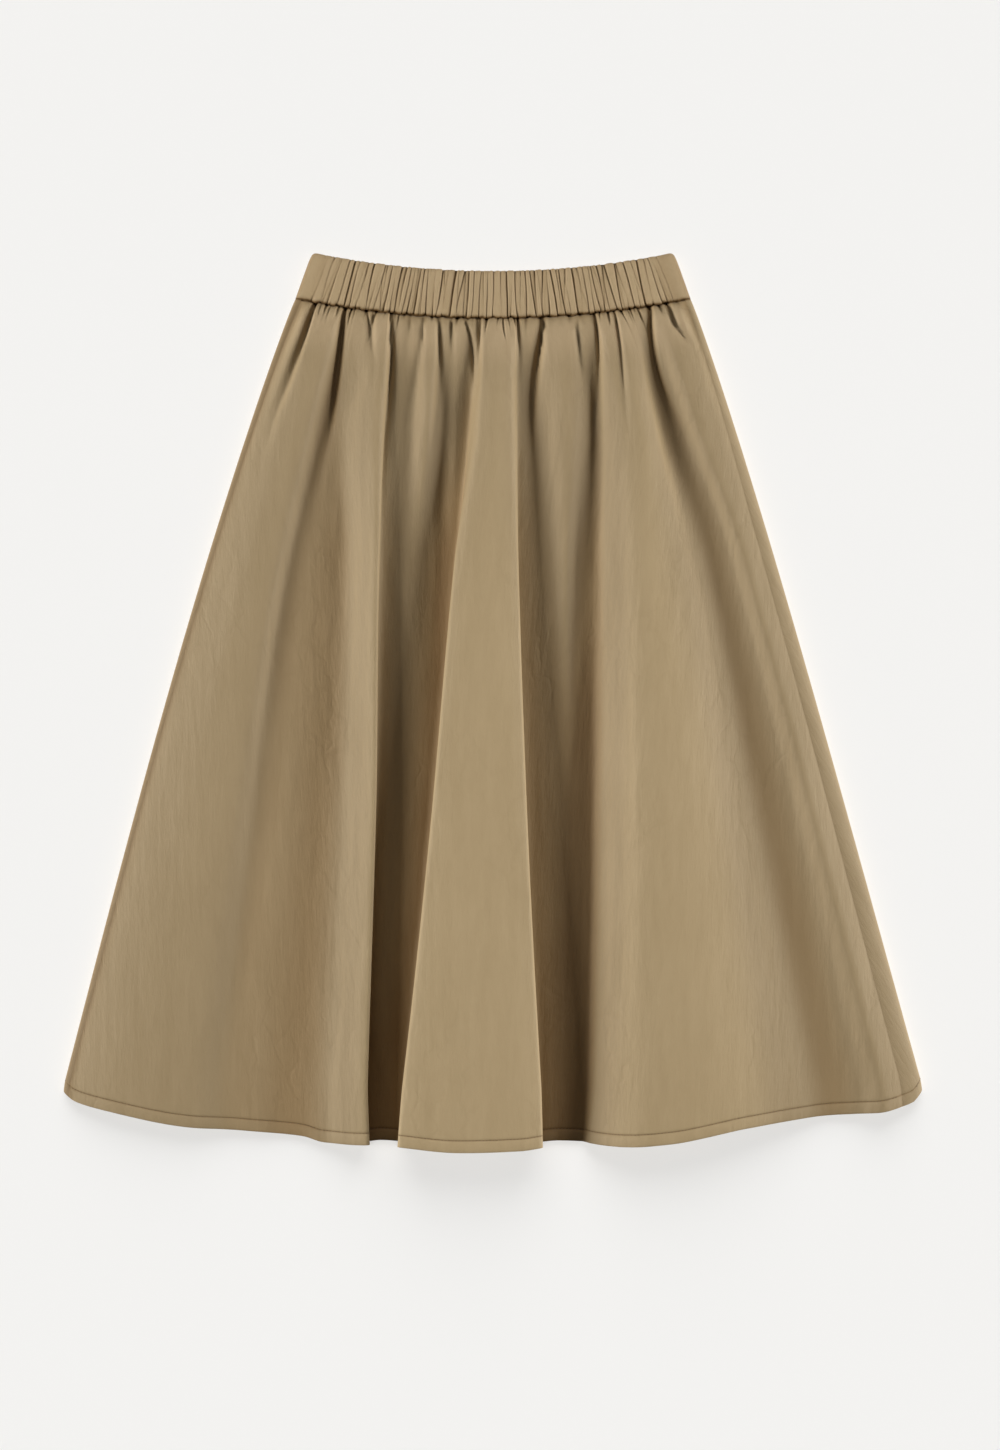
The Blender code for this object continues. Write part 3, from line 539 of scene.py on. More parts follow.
def seam_pinches(across, down, seed):
    """Small puckers right below the waistband, a few mm long and unevenly spaced."""
    here = max(down, 0.0)
    if here > 0.05:
        return np.zeros_like(across)
    total = np.zeros_like(across)
    for k in range(FRONT_PINCHES):
        share = (k + 0.5 + 0.42 * math.sin(2.7 * k + seed)) / FRONT_PINCHES
        reach = 0.0045 + 0.0052 * (1.0 + math.sin(4.1 * k + seed))
        depth = 2.7 + 1.7 * math.sin(1.3 * k + 2.0 * seed)
        lean = 0.003 * math.sin(5.3 * k + seed)
        off = np.abs(across - share - lean * here / 0.01) * SEAM_WIDTH / 1.05
        total += depth * math.exp(-here / reach) * np.exp(-off ** 1.5)
    return total


def seam_wander(x):
    """How far the waist seam strays up and down along its length, in metres."""
    place = x / WAVE_SPAN
    return 0.00045 * (np.sin(143.0 * place + 1.0) + 0.6 * np.sin(257.0 * place + 2.2)
                      + 0.4 * np.sin(421.0 * place))


def soft_unevenness(x, y, height, seed):
    """Gentle unevenness of cloth that has hung and been pressed: long and mostly down the cloth."""
    out = np.zeros_like(x)
    for i, (across, along) in enumerate(zip(x, y)):
        wide = noise.noise(Vector((across / 0.020, along / 0.075, seed)))
        fine = noise.noise(Vector((across / 0.0075, along / 0.030, seed + 7.0)))
        out[i] = height * (0.75 * wide + 0.35 * fine)
    return out


def row_places(sizes, count):
    """Shares of the length for the panel's rows: closer at the waist, and close again over the hem."""
    hem = sizes.hem_depth / MM
    first = SEAM_ROWS[-1]
    last = 1.0 - (hem + 5.0) / PANEL_LENGTH
    body = [first + (last - first) * (i / count) ** 1.25 for i in range(1, count + 1)]
    from_edge = [hem + d for d in STITCH_ROWS] + [hem * 0.5] + list(EDGE_ROWS)
    return list(SEAM_ROWS) + body + [1.0 - d / PANEL_LENGTH for d in from_edge]


def hem_form(sizes, down, across, seed):
    """Height in mm added by the turned-up hem: a soft roll, a groove at the stitches, and puckers."""
    from_edge = (1.0 - down) * PANEL_LENGTH
    hem = sizes.hem_depth / MM
    if from_edge > hem + 6.0:
        return np.zeros_like(across)
    groove = -0.5 * math.exp(-((from_edge - hem) / 0.7) ** 2)
    roll = 0.5 * math.sin(math.pi * min(max(from_edge / hem, 0.0), 1.0)) ** 0.8
    turn = -0.5 * math.exp(-from_edge / 0.35)
    pucker = np.sin(across * 790.0 / 9.0 + 2.0 * np.sin(across * 31.0 + seed))
    pucker = pucker * (0.6 + 0.4 * np.sin(across * 53.0 + seed))
    ring = math.exp(-((from_edge - hem + 2.5) / 4.0) ** 2)
    return groove + roll + turn + 0.16 * pucker * ring


def painted_shade_share(sizes, down):
    """How dark one row of a panel is painted as shade in the waist seam and along the hem's line of
    stitches, 0 to 1.
    """
    from_seam = max(down, 0.0) * PANEL_LENGTH
    from_stitches = (1.0 - down) * PANEL_LENGTH - sizes.hem_depth / MM
    return 0.80 * math.exp(-(from_seam / 0.9) ** 2) + 0.5 * math.exp(-(from_stitches / 0.6) ** 2)


def side_seam_groove(seam, down):
    """Depth in mm of the fine line at a side seam."""
    return 0.12 * np.exp(-(seam / 0.6) ** 2) * min(max(down / 0.01, 0.0), 1.0)


def under_band(down):
    """How far a row has gone under the waistband, 0 to 1."""
    return min(max(-down / UNDER_BAND, 0.0), 1.0)


def make_sheet(name, grid, uv, painted_shade, painted_side_shade, wall, material):
    """Mesh piece from a grid of points, with its wall on the inner side and its cloth laid out as UVs.
    tuck says how dark the cloth is painted as shade at a seam, a gather groove or the hem's stitches, one
    value for each row or each point, and painted_side_shade gives the least values of that painted shade at
    the left and right ends of every row."""
    rows, columns = grid.shape[:2]
    index = np.arange(rows * columns).reshape(rows, columns)
    faces = np.stack([index[:-1, :-1], index[1:, :-1], index[1:, 1:], index[:-1, 1:]], axis=-1)
    faces = faces.reshape(-1, 4)
    mesh = bpy.data.meshes.new(name)
    mesh.from_pydata(grid.reshape(-1, 3).tolist(), [], faces.tolist())
    layer = mesh.uv_layers.new(name="Cloth")
    flat = uv.reshape(-1, 2)
    layer.data.foreach_set("uv", flat[faces.reshape(-1)].astype(np.float32).reshape(-1))
    # Painted shade, one value for each point, which darkens the cloth's colour in the material
    painted_shade_layer = mesh.attributes.new("Painted shade", "FLOAT", "POINT")
    shares = np.broadcast_to(np.array(painted_shade, np.float32).reshape(rows, -1), (rows, columns)).copy()
    for side, ends in enumerate(painted_side_shade):
        for step, share in enumerate(ends):
            column = -1 - step if side else step
            shares[:, column] = np.maximum(shares[:, column], share)
    painted_shade_layer.data.foreach_set("value", shares.ravel())
    mesh.shade_smooth()
    # The open edges stay sharp, so that the shading of the face doesn't run over the cut edge.
    edges = np.empty(len(mesh.loops), int)
    mesh.loops.foreach_get("edge_index", edges)
    mesh.edges.foreach_set("use_edge_sharp", np.bincount(edges, minlength=len(mesh.edges)) == 1)
    mesh.materials.append(material)
    piece = bpy.data.objects.new(name, mesh)
    bpy.context.scene.collection.objects.link(piece)
    shell = piece.modifiers.new("Cloth wall", "SOLIDIFY")
    shell.thickness = wall
    shell.offset = -1.0
    shell.use_rim = True
    return piece


def cloth_uv(grid):
    """The cloth laid out flat: run along each row and down each column, in metres."""
    across = np.linalg.norm(np.diff(grid, axis=1), axis=2)
    u = np.concatenate([np.zeros((grid.shape[0], 1)), np.cumsum(across, axis=1)], axis=1)
    middle = u.shape[1] // 2
    u = u - u[:, middle:middle + 1]
    down = np.linalg.norm(np.diff(grid, axis=0), axis=2).mean(axis=1)
    v = np.concatenate([[0.0], -np.cumsum(down)])
    v = np.broadcast_to(v[:, None], u.shape)
    return np.stack([u, v], axis=-1)


def puff(sizes, down):
    """Swell in mm of the cloth just below the seam."""
    here = max(down, 0.0)
    height = sizes.puff_height / MM
    return height * (1.0 - math.exp(-here / 0.007)) * math.exp(-(here / 0.09) ** 2)


def front_grid(sizes):
    """Points of the front panel's face, row by row from the waist down."""
    spans, shares = spread_columns(sizes, FRONT_FOLDS, FRONT_STEP)
    rows = []
    for down in row_places(sizes, FRONT_ROWS):
        knots, heights = fold_knots(FRONT_FOLDS, max(down, 0.0))
        scale = section_width(sizes, max(down, 0.0))
        across, height = run_through(knots, heights, scale, spans, shares)
        left = (across - knots[0]) * scale
        right = (knots[-1] - across) * scale
        side = np.minimum(across, 1.0 - across) * scale
        calm = np.clip((side - 9.0) / 8.0, 0.0, 1.0)
        height = height + calm * puff(sizes, down)
        dent = crease_depth(sizes, across, down, FRONT_CREASES) + seam_pinches(across, down, 1.0)
        height = height - calm * np.minimum(dent, height - LOWEST_CREASE)
        from_seam = max(down, 0.0) * PANEL_LENGTH
        height = height - 1.3 * math.exp(-(from_seam / 1.0) ** 2)
        height = height + hem_form(sizes, down, across, 0.4)
        seam = np.minimum(np.abs(left), np.abs(right))
        height = height - side_seam_groove(seam, down)
        height = height - 0.8 * under_band(down)
        height = np.maximum(height, LOWEST_FACE)
        x, y = lay_points(sizes, across, down)
        y = y + seam_wander(x) * calm * math.exp(-from_seam / 3.0)
        bump = soft_unevenness(x, y, sizes.crinkle_height, 3.0)
        rows.append(np.stack([x, y, height * MM + bump * np.clip(seam / 12.0, 0.0, 1.0)], axis=-1))
    return np.array(rows)


def back_gathers():
    """Creases of the back panel, which rise into the hollow."""
    rows = []
    for k in range(BACK_GATHERS):
        share = (k + 0.5 + 0.22 * math.sin(2.3 * k)) / BACK_GATHERS
        depth = 2.6 * (0.75 + 0.25 * math.sin(1.7 * k + 1.0))
        fades = 0.10 * (1.0 + 0.4 * math.sin(3.1 * k))
        place = 0.06 + 0.88 * share
        bend = 0.005 * math.sin(1.3 * k)
        rows.append((place, place + bend, place + 1.6 * bend, fades, depth, 3.4, 2.6))
    return rows


def back_grid(sizes):
    """Points of the back panel's face, round both side folds and under the skirt."""
    spans, shares = spread_columns(sizes, BACK_FOLDS, BACK_STEP)
    gathers = back_gathers()
    below = (spans >= BELOW_SPANS[0]) & (spans < BELOW_SPANS[1])
    rows = []
    # The back's hem stops a little short below, and meets the front's hem at the side seams.
    last_span = len(BACK_FOLDS) - 2
    inner = np.clip(np.minimum(spans + shares - 1.0, last_span - spans - shares) / 3.0, 0.0, 1.0)
    for down in row_places(sizes, BACK_ROWS):
        at = min(max(down, 0.0), 0.997)
        knots, heights = fold_knots(BACK_FOLDS, at)
        scale = section_width(sizes, at)
        knots = knots.copy()
        knots[0] -= 0.04 / scale
        knots[-1] += 0.04 / scale
        across, height = run_through(knots, heights, scale, spans, shares)
        height = np.where(below, np.maximum(height, 0.0), height)
        dent = crease_depth(sizes, across, down, gathers)
        height = height + np.where(below, dent, 0.0)
        first = np.abs(across - knots[0]) * scale
        last = np.abs(across - knots[-1]) * scale
        on_top = (spans < 2) | (spans >= len(BACK_FOLDS) - 3)
        seam = np.where(on_top, np.minimum(first, last), 99.0)
        height = height - side_seam_groove(seam, down)
        under = 1.2 * under_band(down)
        height = np.where(below, height + under, height - under * on_top)
        hem = hem_form(sizes, down, across, 2.0)
        height = np.where(below, height - np.minimum(hem, height), height + 0.6 * hem * on_top)
        place = down * (1.0 - 0.003 * inner) if down > 0.0 else down
        x, y = lay_points(sizes, across, place)
        lift = np.abs(soft_unevenness(x, y, sizes.crinkle_height, 9.0))
        z = np.maximum(height, 0.0) * MM + np.where(below, lift * 0.8, 0.0)
        rows.append(np.stack([x, y, z], axis=-1))
    return np.array(rows)


def all_band_gathers():
    """Main grooves, and finer ones in the wide spaces between."""
    rows = list(BAND_GATHERS)
    for k in range(len(BAND_GATHERS) - 1):
        here, after = BAND_GATHERS[k], BAND_GATHERS[k + 1]
        gap = after[0] - here[0]
        if gap > 0.022:
            place = here[0] + gap * (0.5 + 0.1 * math.sin(2.1 * k))
            rows.append((place, 0.006 * math.sin(1.9 * k),
                         0.7 + 0.25 * math.sin(k), 0.8 * math.sin(2.9 * k)))
        if k % 3 != 1:
            start = here[0] + gap * (0.28 if k % 2 else 0.74)
            rows.append((start, 0.010 * math.sin(3.3 * k + 1.0),
                         0.45 + 0.2 * math.sin(1.7 * k), math.sin(4.7 * k)))
    return rows


def edge_pleats(across, up, mean):
    """Depth in mm of the short pleats that start at the waistband's two edges."""
    total = np.zeros_like(across)
    for from_edge, count, seed in ((up, 74, 0.7), (1.0 - up, 58, 2.9)):
        if from_edge > 0.5:
            continue
        for k in range(count):
            share = 0.03 + 0.94 * (k + 0.5 + 0.4 * math.sin(3.7 * k + seed)) / count
            reach = 0.09 + 0.05 * math.sin(2.3 * k + seed)
            depth = 0.65 + 0.45 * math.sin(5.1 * k + seed)
            centre = share + 0.02 * from_edge * math.sin(1.9 * k + seed)
            off = np.abs(across - centre) * mean / 0.7
            total += depth * math.exp(-(from_edge / reach) ** 1.5) * np.exp(-off ** 1.4)
    return total


def band_relief(across, up, gathers, mean):
    """Depth in mm of the waistband's face at one height: rounded pillows between narrow grooves."""
    centres = []
    strengths = []
    for number, (place, lean, depth, upper) in enumerate(gathers):
        swing = 0.0018 * math.sin(3.2 * up + 2.3 * number)
        centres.append(place + lean * (up - 0.5) + swing)
        strengths.append(max(depth * (1.0 + 2.0 * upper * (up - 0.5)), 0.05))
    order = np.argsort(centres)
    centres = np.array(centres)[order]
    strengths = np.array(strengths)[order]
    left = np.clip(np.searchsorted(centres, across) - 1, 0, len(centres) - 2)
    width = np.maximum(centres[left + 1] - centres[left], 1e-4)
    share = np.clip((across - centres[left]) / width, 0.0, 1.0)
    edge = strengths[left] * (1.0 - share) + strengths[left + 1] * share
    pillow = 1.0 - np.sqrt(np.maximum(4.0 * share * (1.0 - share), 0.0))
    dent = 0.85 * np.minimum(edge, 1.6) * pillow ** 1.3
    for number, (centre, depth) in enumerate(zip(centres, strengths)):
        narrow = 0.70 + 0.20 * math.sin(1.7 * number)
        wide = 1.75 + 0.55 * math.sin(2.9 * number)
        if number % 4 == 3:
            narrow, wide = wide, narrow
        off = (across - centre) * mean
        off = np.where(off < 0.0, -off / narrow, off / wide)
        dent += 0.92 * depth * np.exp(-off ** 1.35)
    return dent + edge_pleats(across, up, mean)


def band_grid(sizes, front):
    """Points of one half of the casing, from its upper edge down, and how dark each is painted as shade."""
    low_width = 2.0 * sizes.waist_seam_half / MM
    top_width = 2.0 * sizes.band_top_half / MM
    mean = 0.5 * (low_width + top_width)
    edge = sizes.band_edge / MM
    middle = 0.5 * sizes.band_thick / MM
    turns = np.radians(np.array(SIDE_TURNS))
    corner = edge * (1.0 - np.cos(turns)) / mean
    even = np.linspace(edge / mean, 1.0 - edge / mean, BAND_COLUMNS[0 if front else 1])
    across = np.concatenate([corner, even, 1.0 - corner[::-1]])
    gathers = all_band_gathers()
    if not front:
        gathers = [(1.0 - place, -lean, depth, upper) for place, lean, depth, upper in gathers]
    side = np.minimum(across, 1.0 - across) * mean
    full = np.where(side >= edge, 1.0, np.sqrt(np.maximum(1.0 - (1.0 - side / edge) ** 2, 0.0)))
    calm = np.clip((side - 4.0) / 9.0, 0.0, 1.0)
    rows = []
    painted_shade = []
    for up, dip in BAND_ROWS:
        dent = band_relief(across, up, gathers, mean)
        # Painted shade down in the deeper grooves, darkest along the lower edge at the waist seam
        groove_shade = 0.55 * np.clip((dent - 0.8) / 1.9, 0.0, 1.0) * calm
        painted_shade.append(np.maximum(groove_shade, 0.95 * math.exp(-(up / 0.03) ** 2)))
        x = (2.0 * across - 1.0) * (sizes.waist_seam_half
                                    + (sizes.band_top_half - sizes.waist_seam_half) * up)
        arc = 1.0 - (2.0 * across - 1.0) ** 2
        low = sizes.waist_seam_side - sizes.waist_seam_sag * arc
        top = sizes.band_top_side - sizes.band_top_sag * arc
        # The upper edge is drawn down a little at each deep groove, and the lower one up.
        y = low + (top - low) * up
        y = y + 0.0004 * np.minimum(dent, 2.0) * calm * ((1.0 - up) ** 8 - up ** 8)
        y = y + seam_wander(x) * calm * (1.0 - up) ** 12
        rounded = np.clip(1.0 - side / 6.0, 0.0, 1.0)
        y = y - 0.0035 * (1.0 - np.sqrt(1.0 - rounded ** 2)) * up ** 10
        ripple = soft_unevenness(x * 1.6, y * 2.4, 0.00045, 5.0 if front else 15.0) / MM
        rise = BAND_GAP / 2.0 + (middle - BAND_GAP / 2.0) * full
        rise = rise - calm * np.minimum(dent + dip, 3.1) - (1.0 - calm) * dip * full
        rise = rise + ripple * calm
        rise = np.clip(rise, BAND_GAP / 2.0, middle)
        z = middle + rise if front else middle - rise
        rows.append(np.stack([x, y, z * MM], axis=-1))
    grid = np.array(rows[::-1])
    painted_shade = np.array(painted_shade[::-1])
    return (grid, painted_shade) if front else (grid[:, ::-1], painted_shade[:, ::-1])


def group_sockets(tree, in_out, sockets):
    """Adds sockets to a node group, each with its kind and, where it has one, its default."""
    for name, kind, default in sockets:
        socket = tree.interface.new_socket(name=name, in_out=in_out, socket_type="NodeSocket" + kind)
        if default is not None:
            socket.default_value = default


def add_node(tree, kind, settings, sockets):
    """Node with its settings. sockets gives each input a number, or the output that feeds it."""
    node = tree.nodes.new(kind)
    for name, value in settings.items():
        setattr(node, name, value)
    for name, value in sockets.items():
        if isinstance(value, bpy.types.NodeSocket):
            tree.links.new(value, node.inputs[name])
        else:
            node.inputs[name].default_value = value
    return node


def arithmetic(tree, operation, a, b):
    """Output of one sum or product."""
    node = add_node(tree, "ShaderNodeMath", {"operation": operation}, {0: a, 1: b})
    return node.outputs["Value"]


def weighted_sum(tree, terms):
    """Sum of outputs, each times its weight."""
    total = None
    for output, weight in terms:
        part = arithmetic(tree, "MULTIPLY", output, weight)
        total = part if total is None else arithmetic(tree, "ADD", total, part)
    return total


def ramp(tree, output, low, high, first, last):
    """Smooth ramp from the value first at low to the value last at high."""
    node = add_node(tree, "ShaderNodeMapRange", {"interpolation_type": "SMOOTHSTEP"}, {
        "Value": output, "From Min": low, "From Max": high, "To Min": first, "To Max": last})
    return node.outputs["Result"]


def mix(tree, blend, factor, first, second):
    """Colour from two others."""
    node = add_node(tree, "ShaderNodeMix", {"data_type": "RGBA", "blend_type": blend}, {
        "Factor": factor, "A": first, "B": second})
    return node.outputs["Result"]


def bump(tree, height, strength, distance):
    """Direction of the face, tilted by a height."""
    node = add_node(tree, "ShaderNodeBump", {}, {
        "Height": height, "Strength": strength, "Distance": distance})
    return node.outputs["Normal"]


def new_material(name):
    """Material with its node tree and its shader."""
    material = bpy.data.materials.new(name)
    material.use_nodes = True
    return material, material.node_tree, material.node_tree.nodes["Principled BSDF"]


# Noise patterns of the cloth: how often each repeats in a metre along and down the cloth, detail, roughness
CLOTH_PATTERNS = {
    "Long crinkles": ((150.0, 26.0, 1.0), 3.0, 0.62),
    "Cross crinkles": ((60.0, 110.0, 1.0), 2.0, 0.5),
    "Fine crinkles": ((620.0, 170.0, 1.0), 2.0, 0.55),
    "Dye": ((9.0, 6.0, 1.0), 2.0, 0.5),
    "Streaks": ((62.0, 9.0, 1.0), 2.0, 0.5),
    "Creased patches": ((13.0, 8.0, 1.0), 1.0, 0.5),
}


def crinkled_weave_group():
    """Height and shade of a crisp plain weave with dry crinkles, from the cloth's own UVs in metres. The
    shade is random dye tone, with a painted highlight on the raised crinkles and threads and painted shade
    in the crease lines.
    """
    name = "Crinkled weave"
    if name in bpy.data.node_groups:
        return bpy.data.node_groups[name]
    tree = bpy.data.node_groups.new(name, "ShaderNodeTree")
    group_sockets(tree, "INPUT", (
        ("Cloth", "Vector", None), ("Thread Count", "Float", 2100.0), ("Crinkle", "Float", 1.0)))
    group_sockets(tree, "OUTPUT", (
        ("Height", "Float", None), ("Shade", "Float", None), ("Dryness", "Float", None)))
    start = tree.nodes.new("NodeGroupInput")
    end = tree.nodes.new("NodeGroupOutput")
    cloth = start.outputs["Cloth"]

    pattern = {}
    for label, (scale, detail, rough) in CLOTH_PATTERNS.items():
        stretched = add_node(tree, "ShaderNodeMapping", {}, {"Vector": cloth, "Scale": scale})
        made = add_node(tree, "ShaderNodeTexNoise", {"label": label}, {
            "Vector": stretched.outputs["Vector"], "Scale": 1.0, "Detail": detail, "Roughness": rough})
        pattern[label] = made.outputs["Fac"]

    # A web of sharp creases, which bends a little and shows only in patches
    stray = add_node(tree, "ShaderNodeTexNoise", {}, {"Vector": cloth, "Scale": 55.0})
    small = add_node(tree, "ShaderNodeVectorMath", {"operation": "SCALE"}, {
        0: stray.outputs["Color"], "Scale": 0.02})
    bent = add_node(tree, "ShaderNodeVectorMath", {"operation": "ADD"}, {
        0: cloth, 1: small.outputs["Vector"]})
    cells = add_node(tree, "ShaderNodeMapping", {}, {
        "Vector": bent.outputs["Vector"], "Rotation": (0.0, 0.0, 0.35), "Scale": (48.0, 24.0, 1.0)})
    web = add_node(tree, "ShaderNodeTexVoronoi", {
        "feature": "DISTANCE_TO_EDGE", "voronoi_dimensions": "2D",
    }, {"Vector": cells.outputs["Vector"], "Scale": 1.0})
    crease = arithmetic(tree, "MULTIPLY", ramp(tree, web.outputs["Distance"], 0.0, 0.16, 1.0, 0.0),
                        ramp(tree, pattern["Creased patches"], 0.47, 0.66, 0.0, 1.0))

    # The wave texture repeats once in pi units, so the thread count is divided by it.
    count = arithmetic(tree, "MULTIPLY", start.outputs["Thread Count"], 0.3183)
    threads = []
    for direction in ("X", "Y"):
        wave = add_node(tree, "ShaderNodeTexWave", {
            "label": "Threads " + direction, "wave_type": "BANDS", "bands_direction": direction,
        }, {"Vector": cloth, "Scale": count, "Distortion": 0.6, "Detail": 1.0})
        threads.append(wave.outputs["Fac"])
    weave = arithmetic(tree, "MULTIPLY", threads[0], threads[1])

    crinkle = weighted_sum(tree, (
        (pattern["Long crinkles"], 0.60), (pattern["Cross crinkles"], 0.22),
        (pattern["Fine crinkles"], 0.16), (pattern["Streaks"], 0.45), (crease, -0.15)))
    crinkle = arithmetic(tree, "MULTIPLY", crinkle, start.outputs["Crinkle"])
    height = arithmetic(tree, "ADD", crinkle, arithmetic(tree, "MULTIPLY", weave, 0.05))
    # Shade: random dye and streak tone, plus painted highlight where the crinkles and threads stand up, and
    # painted shade along the crease lines
    shade = weighted_sum(tree, (
        (pattern["Dye"], 0.30), (pattern["Long crinkles"], 0.25), (pattern["Streaks"], 0.33),
        (weave, 0.12), (crease, -0.06)))
    tree.links.new(height, end.inputs["Height"])
    tree.links.new(ramp(tree, shade, 0.28, 0.66, 0.0, 1.0), end.inputs["Shade"])
    tree.links.new(pattern["Fine crinkles"], end.inputs["Dryness"])
    return tree


# Painted highlight and shade by height: mm above the floor where each starts and where it is full, its
# factor, and how many mm below the waist seam it ends, or 0 where it goes all the way. The high folds and
# the puffs just below the seam are painted paler as highlight, and the low cloth between the folds darker as
# shade.
FOLD_LIGHT_AND_SHADE = (
    (18.5, 32.0, (1.23, 1.24, 1.25), 0.0),
    (12.5, 4.0, (0.90, 0.81, 0.70), 0.0),
    (6.0, 3.6, (0.72, 0.66, 0.60), 0.0),
    (9.0, 15.0, (1.22, 1.22, 1.29), 62.0),
)
# Painted highlight on the waistband: the raised pillows, and most of all their tops, are painted paler
BAND_HIGHLIGHTS = (
    (0.5, 9.0, (1.12, 1.09, 1.08), 0.0),
    (9.5, 10.4, (1.12, 1.15, 1.20), 0.0),
)

# Share of the cloth's red, green and blue that is left in the darkest painted shade, deep in a seam
DEEPEST_SHADE_SHARE = (0.36, 0.23, 0.06)


def painted_light_reach(tree, output, start, end):
    """Share of a painted highlight or shade: none at start, all of it at end, both in mm."""
    first = 0.0 if start < end else 1.0
    return ramp(tree, output, min(start, end) * MM, max(start, end) * MM, first, 1.0 - first)


def tan_cloth(name, colours, crinkle, painted_light_by_height):
    """Tan woven cloth: crinkled bump, slight shade changes, dry sheen. tones gives the painted highlight and
    shade, changes of colour with the height above the floor."""
    if name in bpy.data.materials:
        return bpy.data.materials[name]
    material, tree, shader = new_material(name)
    layout = add_node(tree, "ShaderNodeUVMap", {"uv_map": "Cloth"}, {})
    weave = add_node(tree, "ShaderNodeGroup", {"node_tree": crinkled_weave_group()}, {
        "Crinkle": crinkle, "Cloth": layout.outputs["UV"]})
    # Random dye tone, with a little painted highlight and shade from the crinkles
    shaded = mix(tree, "MIX", weave.outputs["Shade"], tuple(colours.cloth), tuple(colours.cloth_dye_and_highlight))

    # Painted highlight and shade by height above the floor: the highest folds, and the puffs just below the
    # waist seam, are painted paler, and the cloth down between the folds is painted darker and warmer.
    place = add_node(tree, "ShaderNodeTexCoord", {}, {})
    parts = add_node(tree, "ShaderNodeSeparateXYZ", {}, {"Vector": place.outputs["Object"]})
    run = add_node(tree, "ShaderNodeSeparateXYZ", {}, {"Vector": layout.outputs["UV"]})
    for start, end, factor, fades in painted_light_by_height:
        reach = painted_light_reach(tree, parts.outputs["Z"], start, end)
        if fades:
            near = painted_light_reach(tree, run.outputs["Y"], -fades, -0.35 * fades)
            reach = arithmetic(tree, "MULTIPLY", reach, near)
        shaded = mix(tree, "MULTIPLY", reach, shaded, factor + (1.0,))

    # Painted shade: the cloth is painted darker in the waist seam, the gather grooves, along the hem's
    # stitches and at the side ends.
    painted_shade_layer = add_node(tree, "ShaderNodeAttribute", {"attribute_name": "Painted shade"}, {})
    darkest_shade = [share * colour for share, colour in zip(DEEPEST_SHADE_SHARE, colours.cloth)]
    shaded = mix(tree, "MIX", painted_shade_layer.outputs["Fac"], shaded, tuple(darkest_shade) + (1.0,))
    tree.links.new(shaded, shader.inputs["Base Color"])

    dry = add_node(tree, "ShaderNodeMapRange", {}, {
        "Value": weave.outputs["Dryness"], "To Min": 0.50, "To Max": 0.66})
    tree.links.new(dry.outputs["Result"], shader.inputs["Roughness"])
    tree.links.new(bump(tree, weave.outputs["Height"], 1.0, 0.0011), shader.inputs["Normal"])
    shader.inputs["Specular IOR Level"].default_value = 0.22
    shader.inputs["Sheen Weight"].default_value = 0.12
    shader.inputs["Sheen Roughness"].default_value = 0.45
    shader.inputs["Sheen Tint"].default_value = (0.95, 0.85, 0.68, 1.0)
    return material


def sewing_thread(colours):
    """Twisted thread, a little darker than the cloth."""
    name = "Sewing thread"
    if name in bpy.data.materials:
        return bpy.data.materials[name]
    material, tree, shader = new_material(name)
    place = add_node(tree, "ShaderNodeTexCoord", {}, {})
    twist = add_node(tree, "ShaderNodeTexNoise", {}, {
        "Vector": place.outputs["Object"], "Scale": 900.0, "Detail": 2.0})
    paler = tuple(c * 1.3 for c in colours.thread[:3]) + (1.0,)
    tint = mix(tree, "MIX", twist.outputs["Fac"], tuple(colours.thread), paler)
    tree.links.new(tint, shader.inputs["Base Color"])
    tree.links.new(bump(tree, twist.outputs["Fac"], 0.4, 0.0001), shader.inputs["Normal"])
    shader.inputs["Roughness"].default_value = 0.55
    return material


def pale_floor(colours):
    """Plain matt floor."""
    material, tree, shader = new_material("Pale floor")
    place = add_node(tree, "ShaderNodeTexCoord", {}, {})
    grain = add_node(tree, "ShaderNodeTexNoise", {}, {"Vector": place.outputs["Object"], "Scale": 3.0})
    paler = tuple(min(c * 1.006, 1.0) for c in colours.floor)
    tint = mix(tree, "MIX", grain.outputs["Fac"], tuple(colours.floor), paler)
    tree.links.new(tint, shader.inputs["Base Color"])
    shader.inputs["Roughness"].default_value = 0.95
    shader.inputs["Specular IOR Level"].default_value = 0.1
    return material


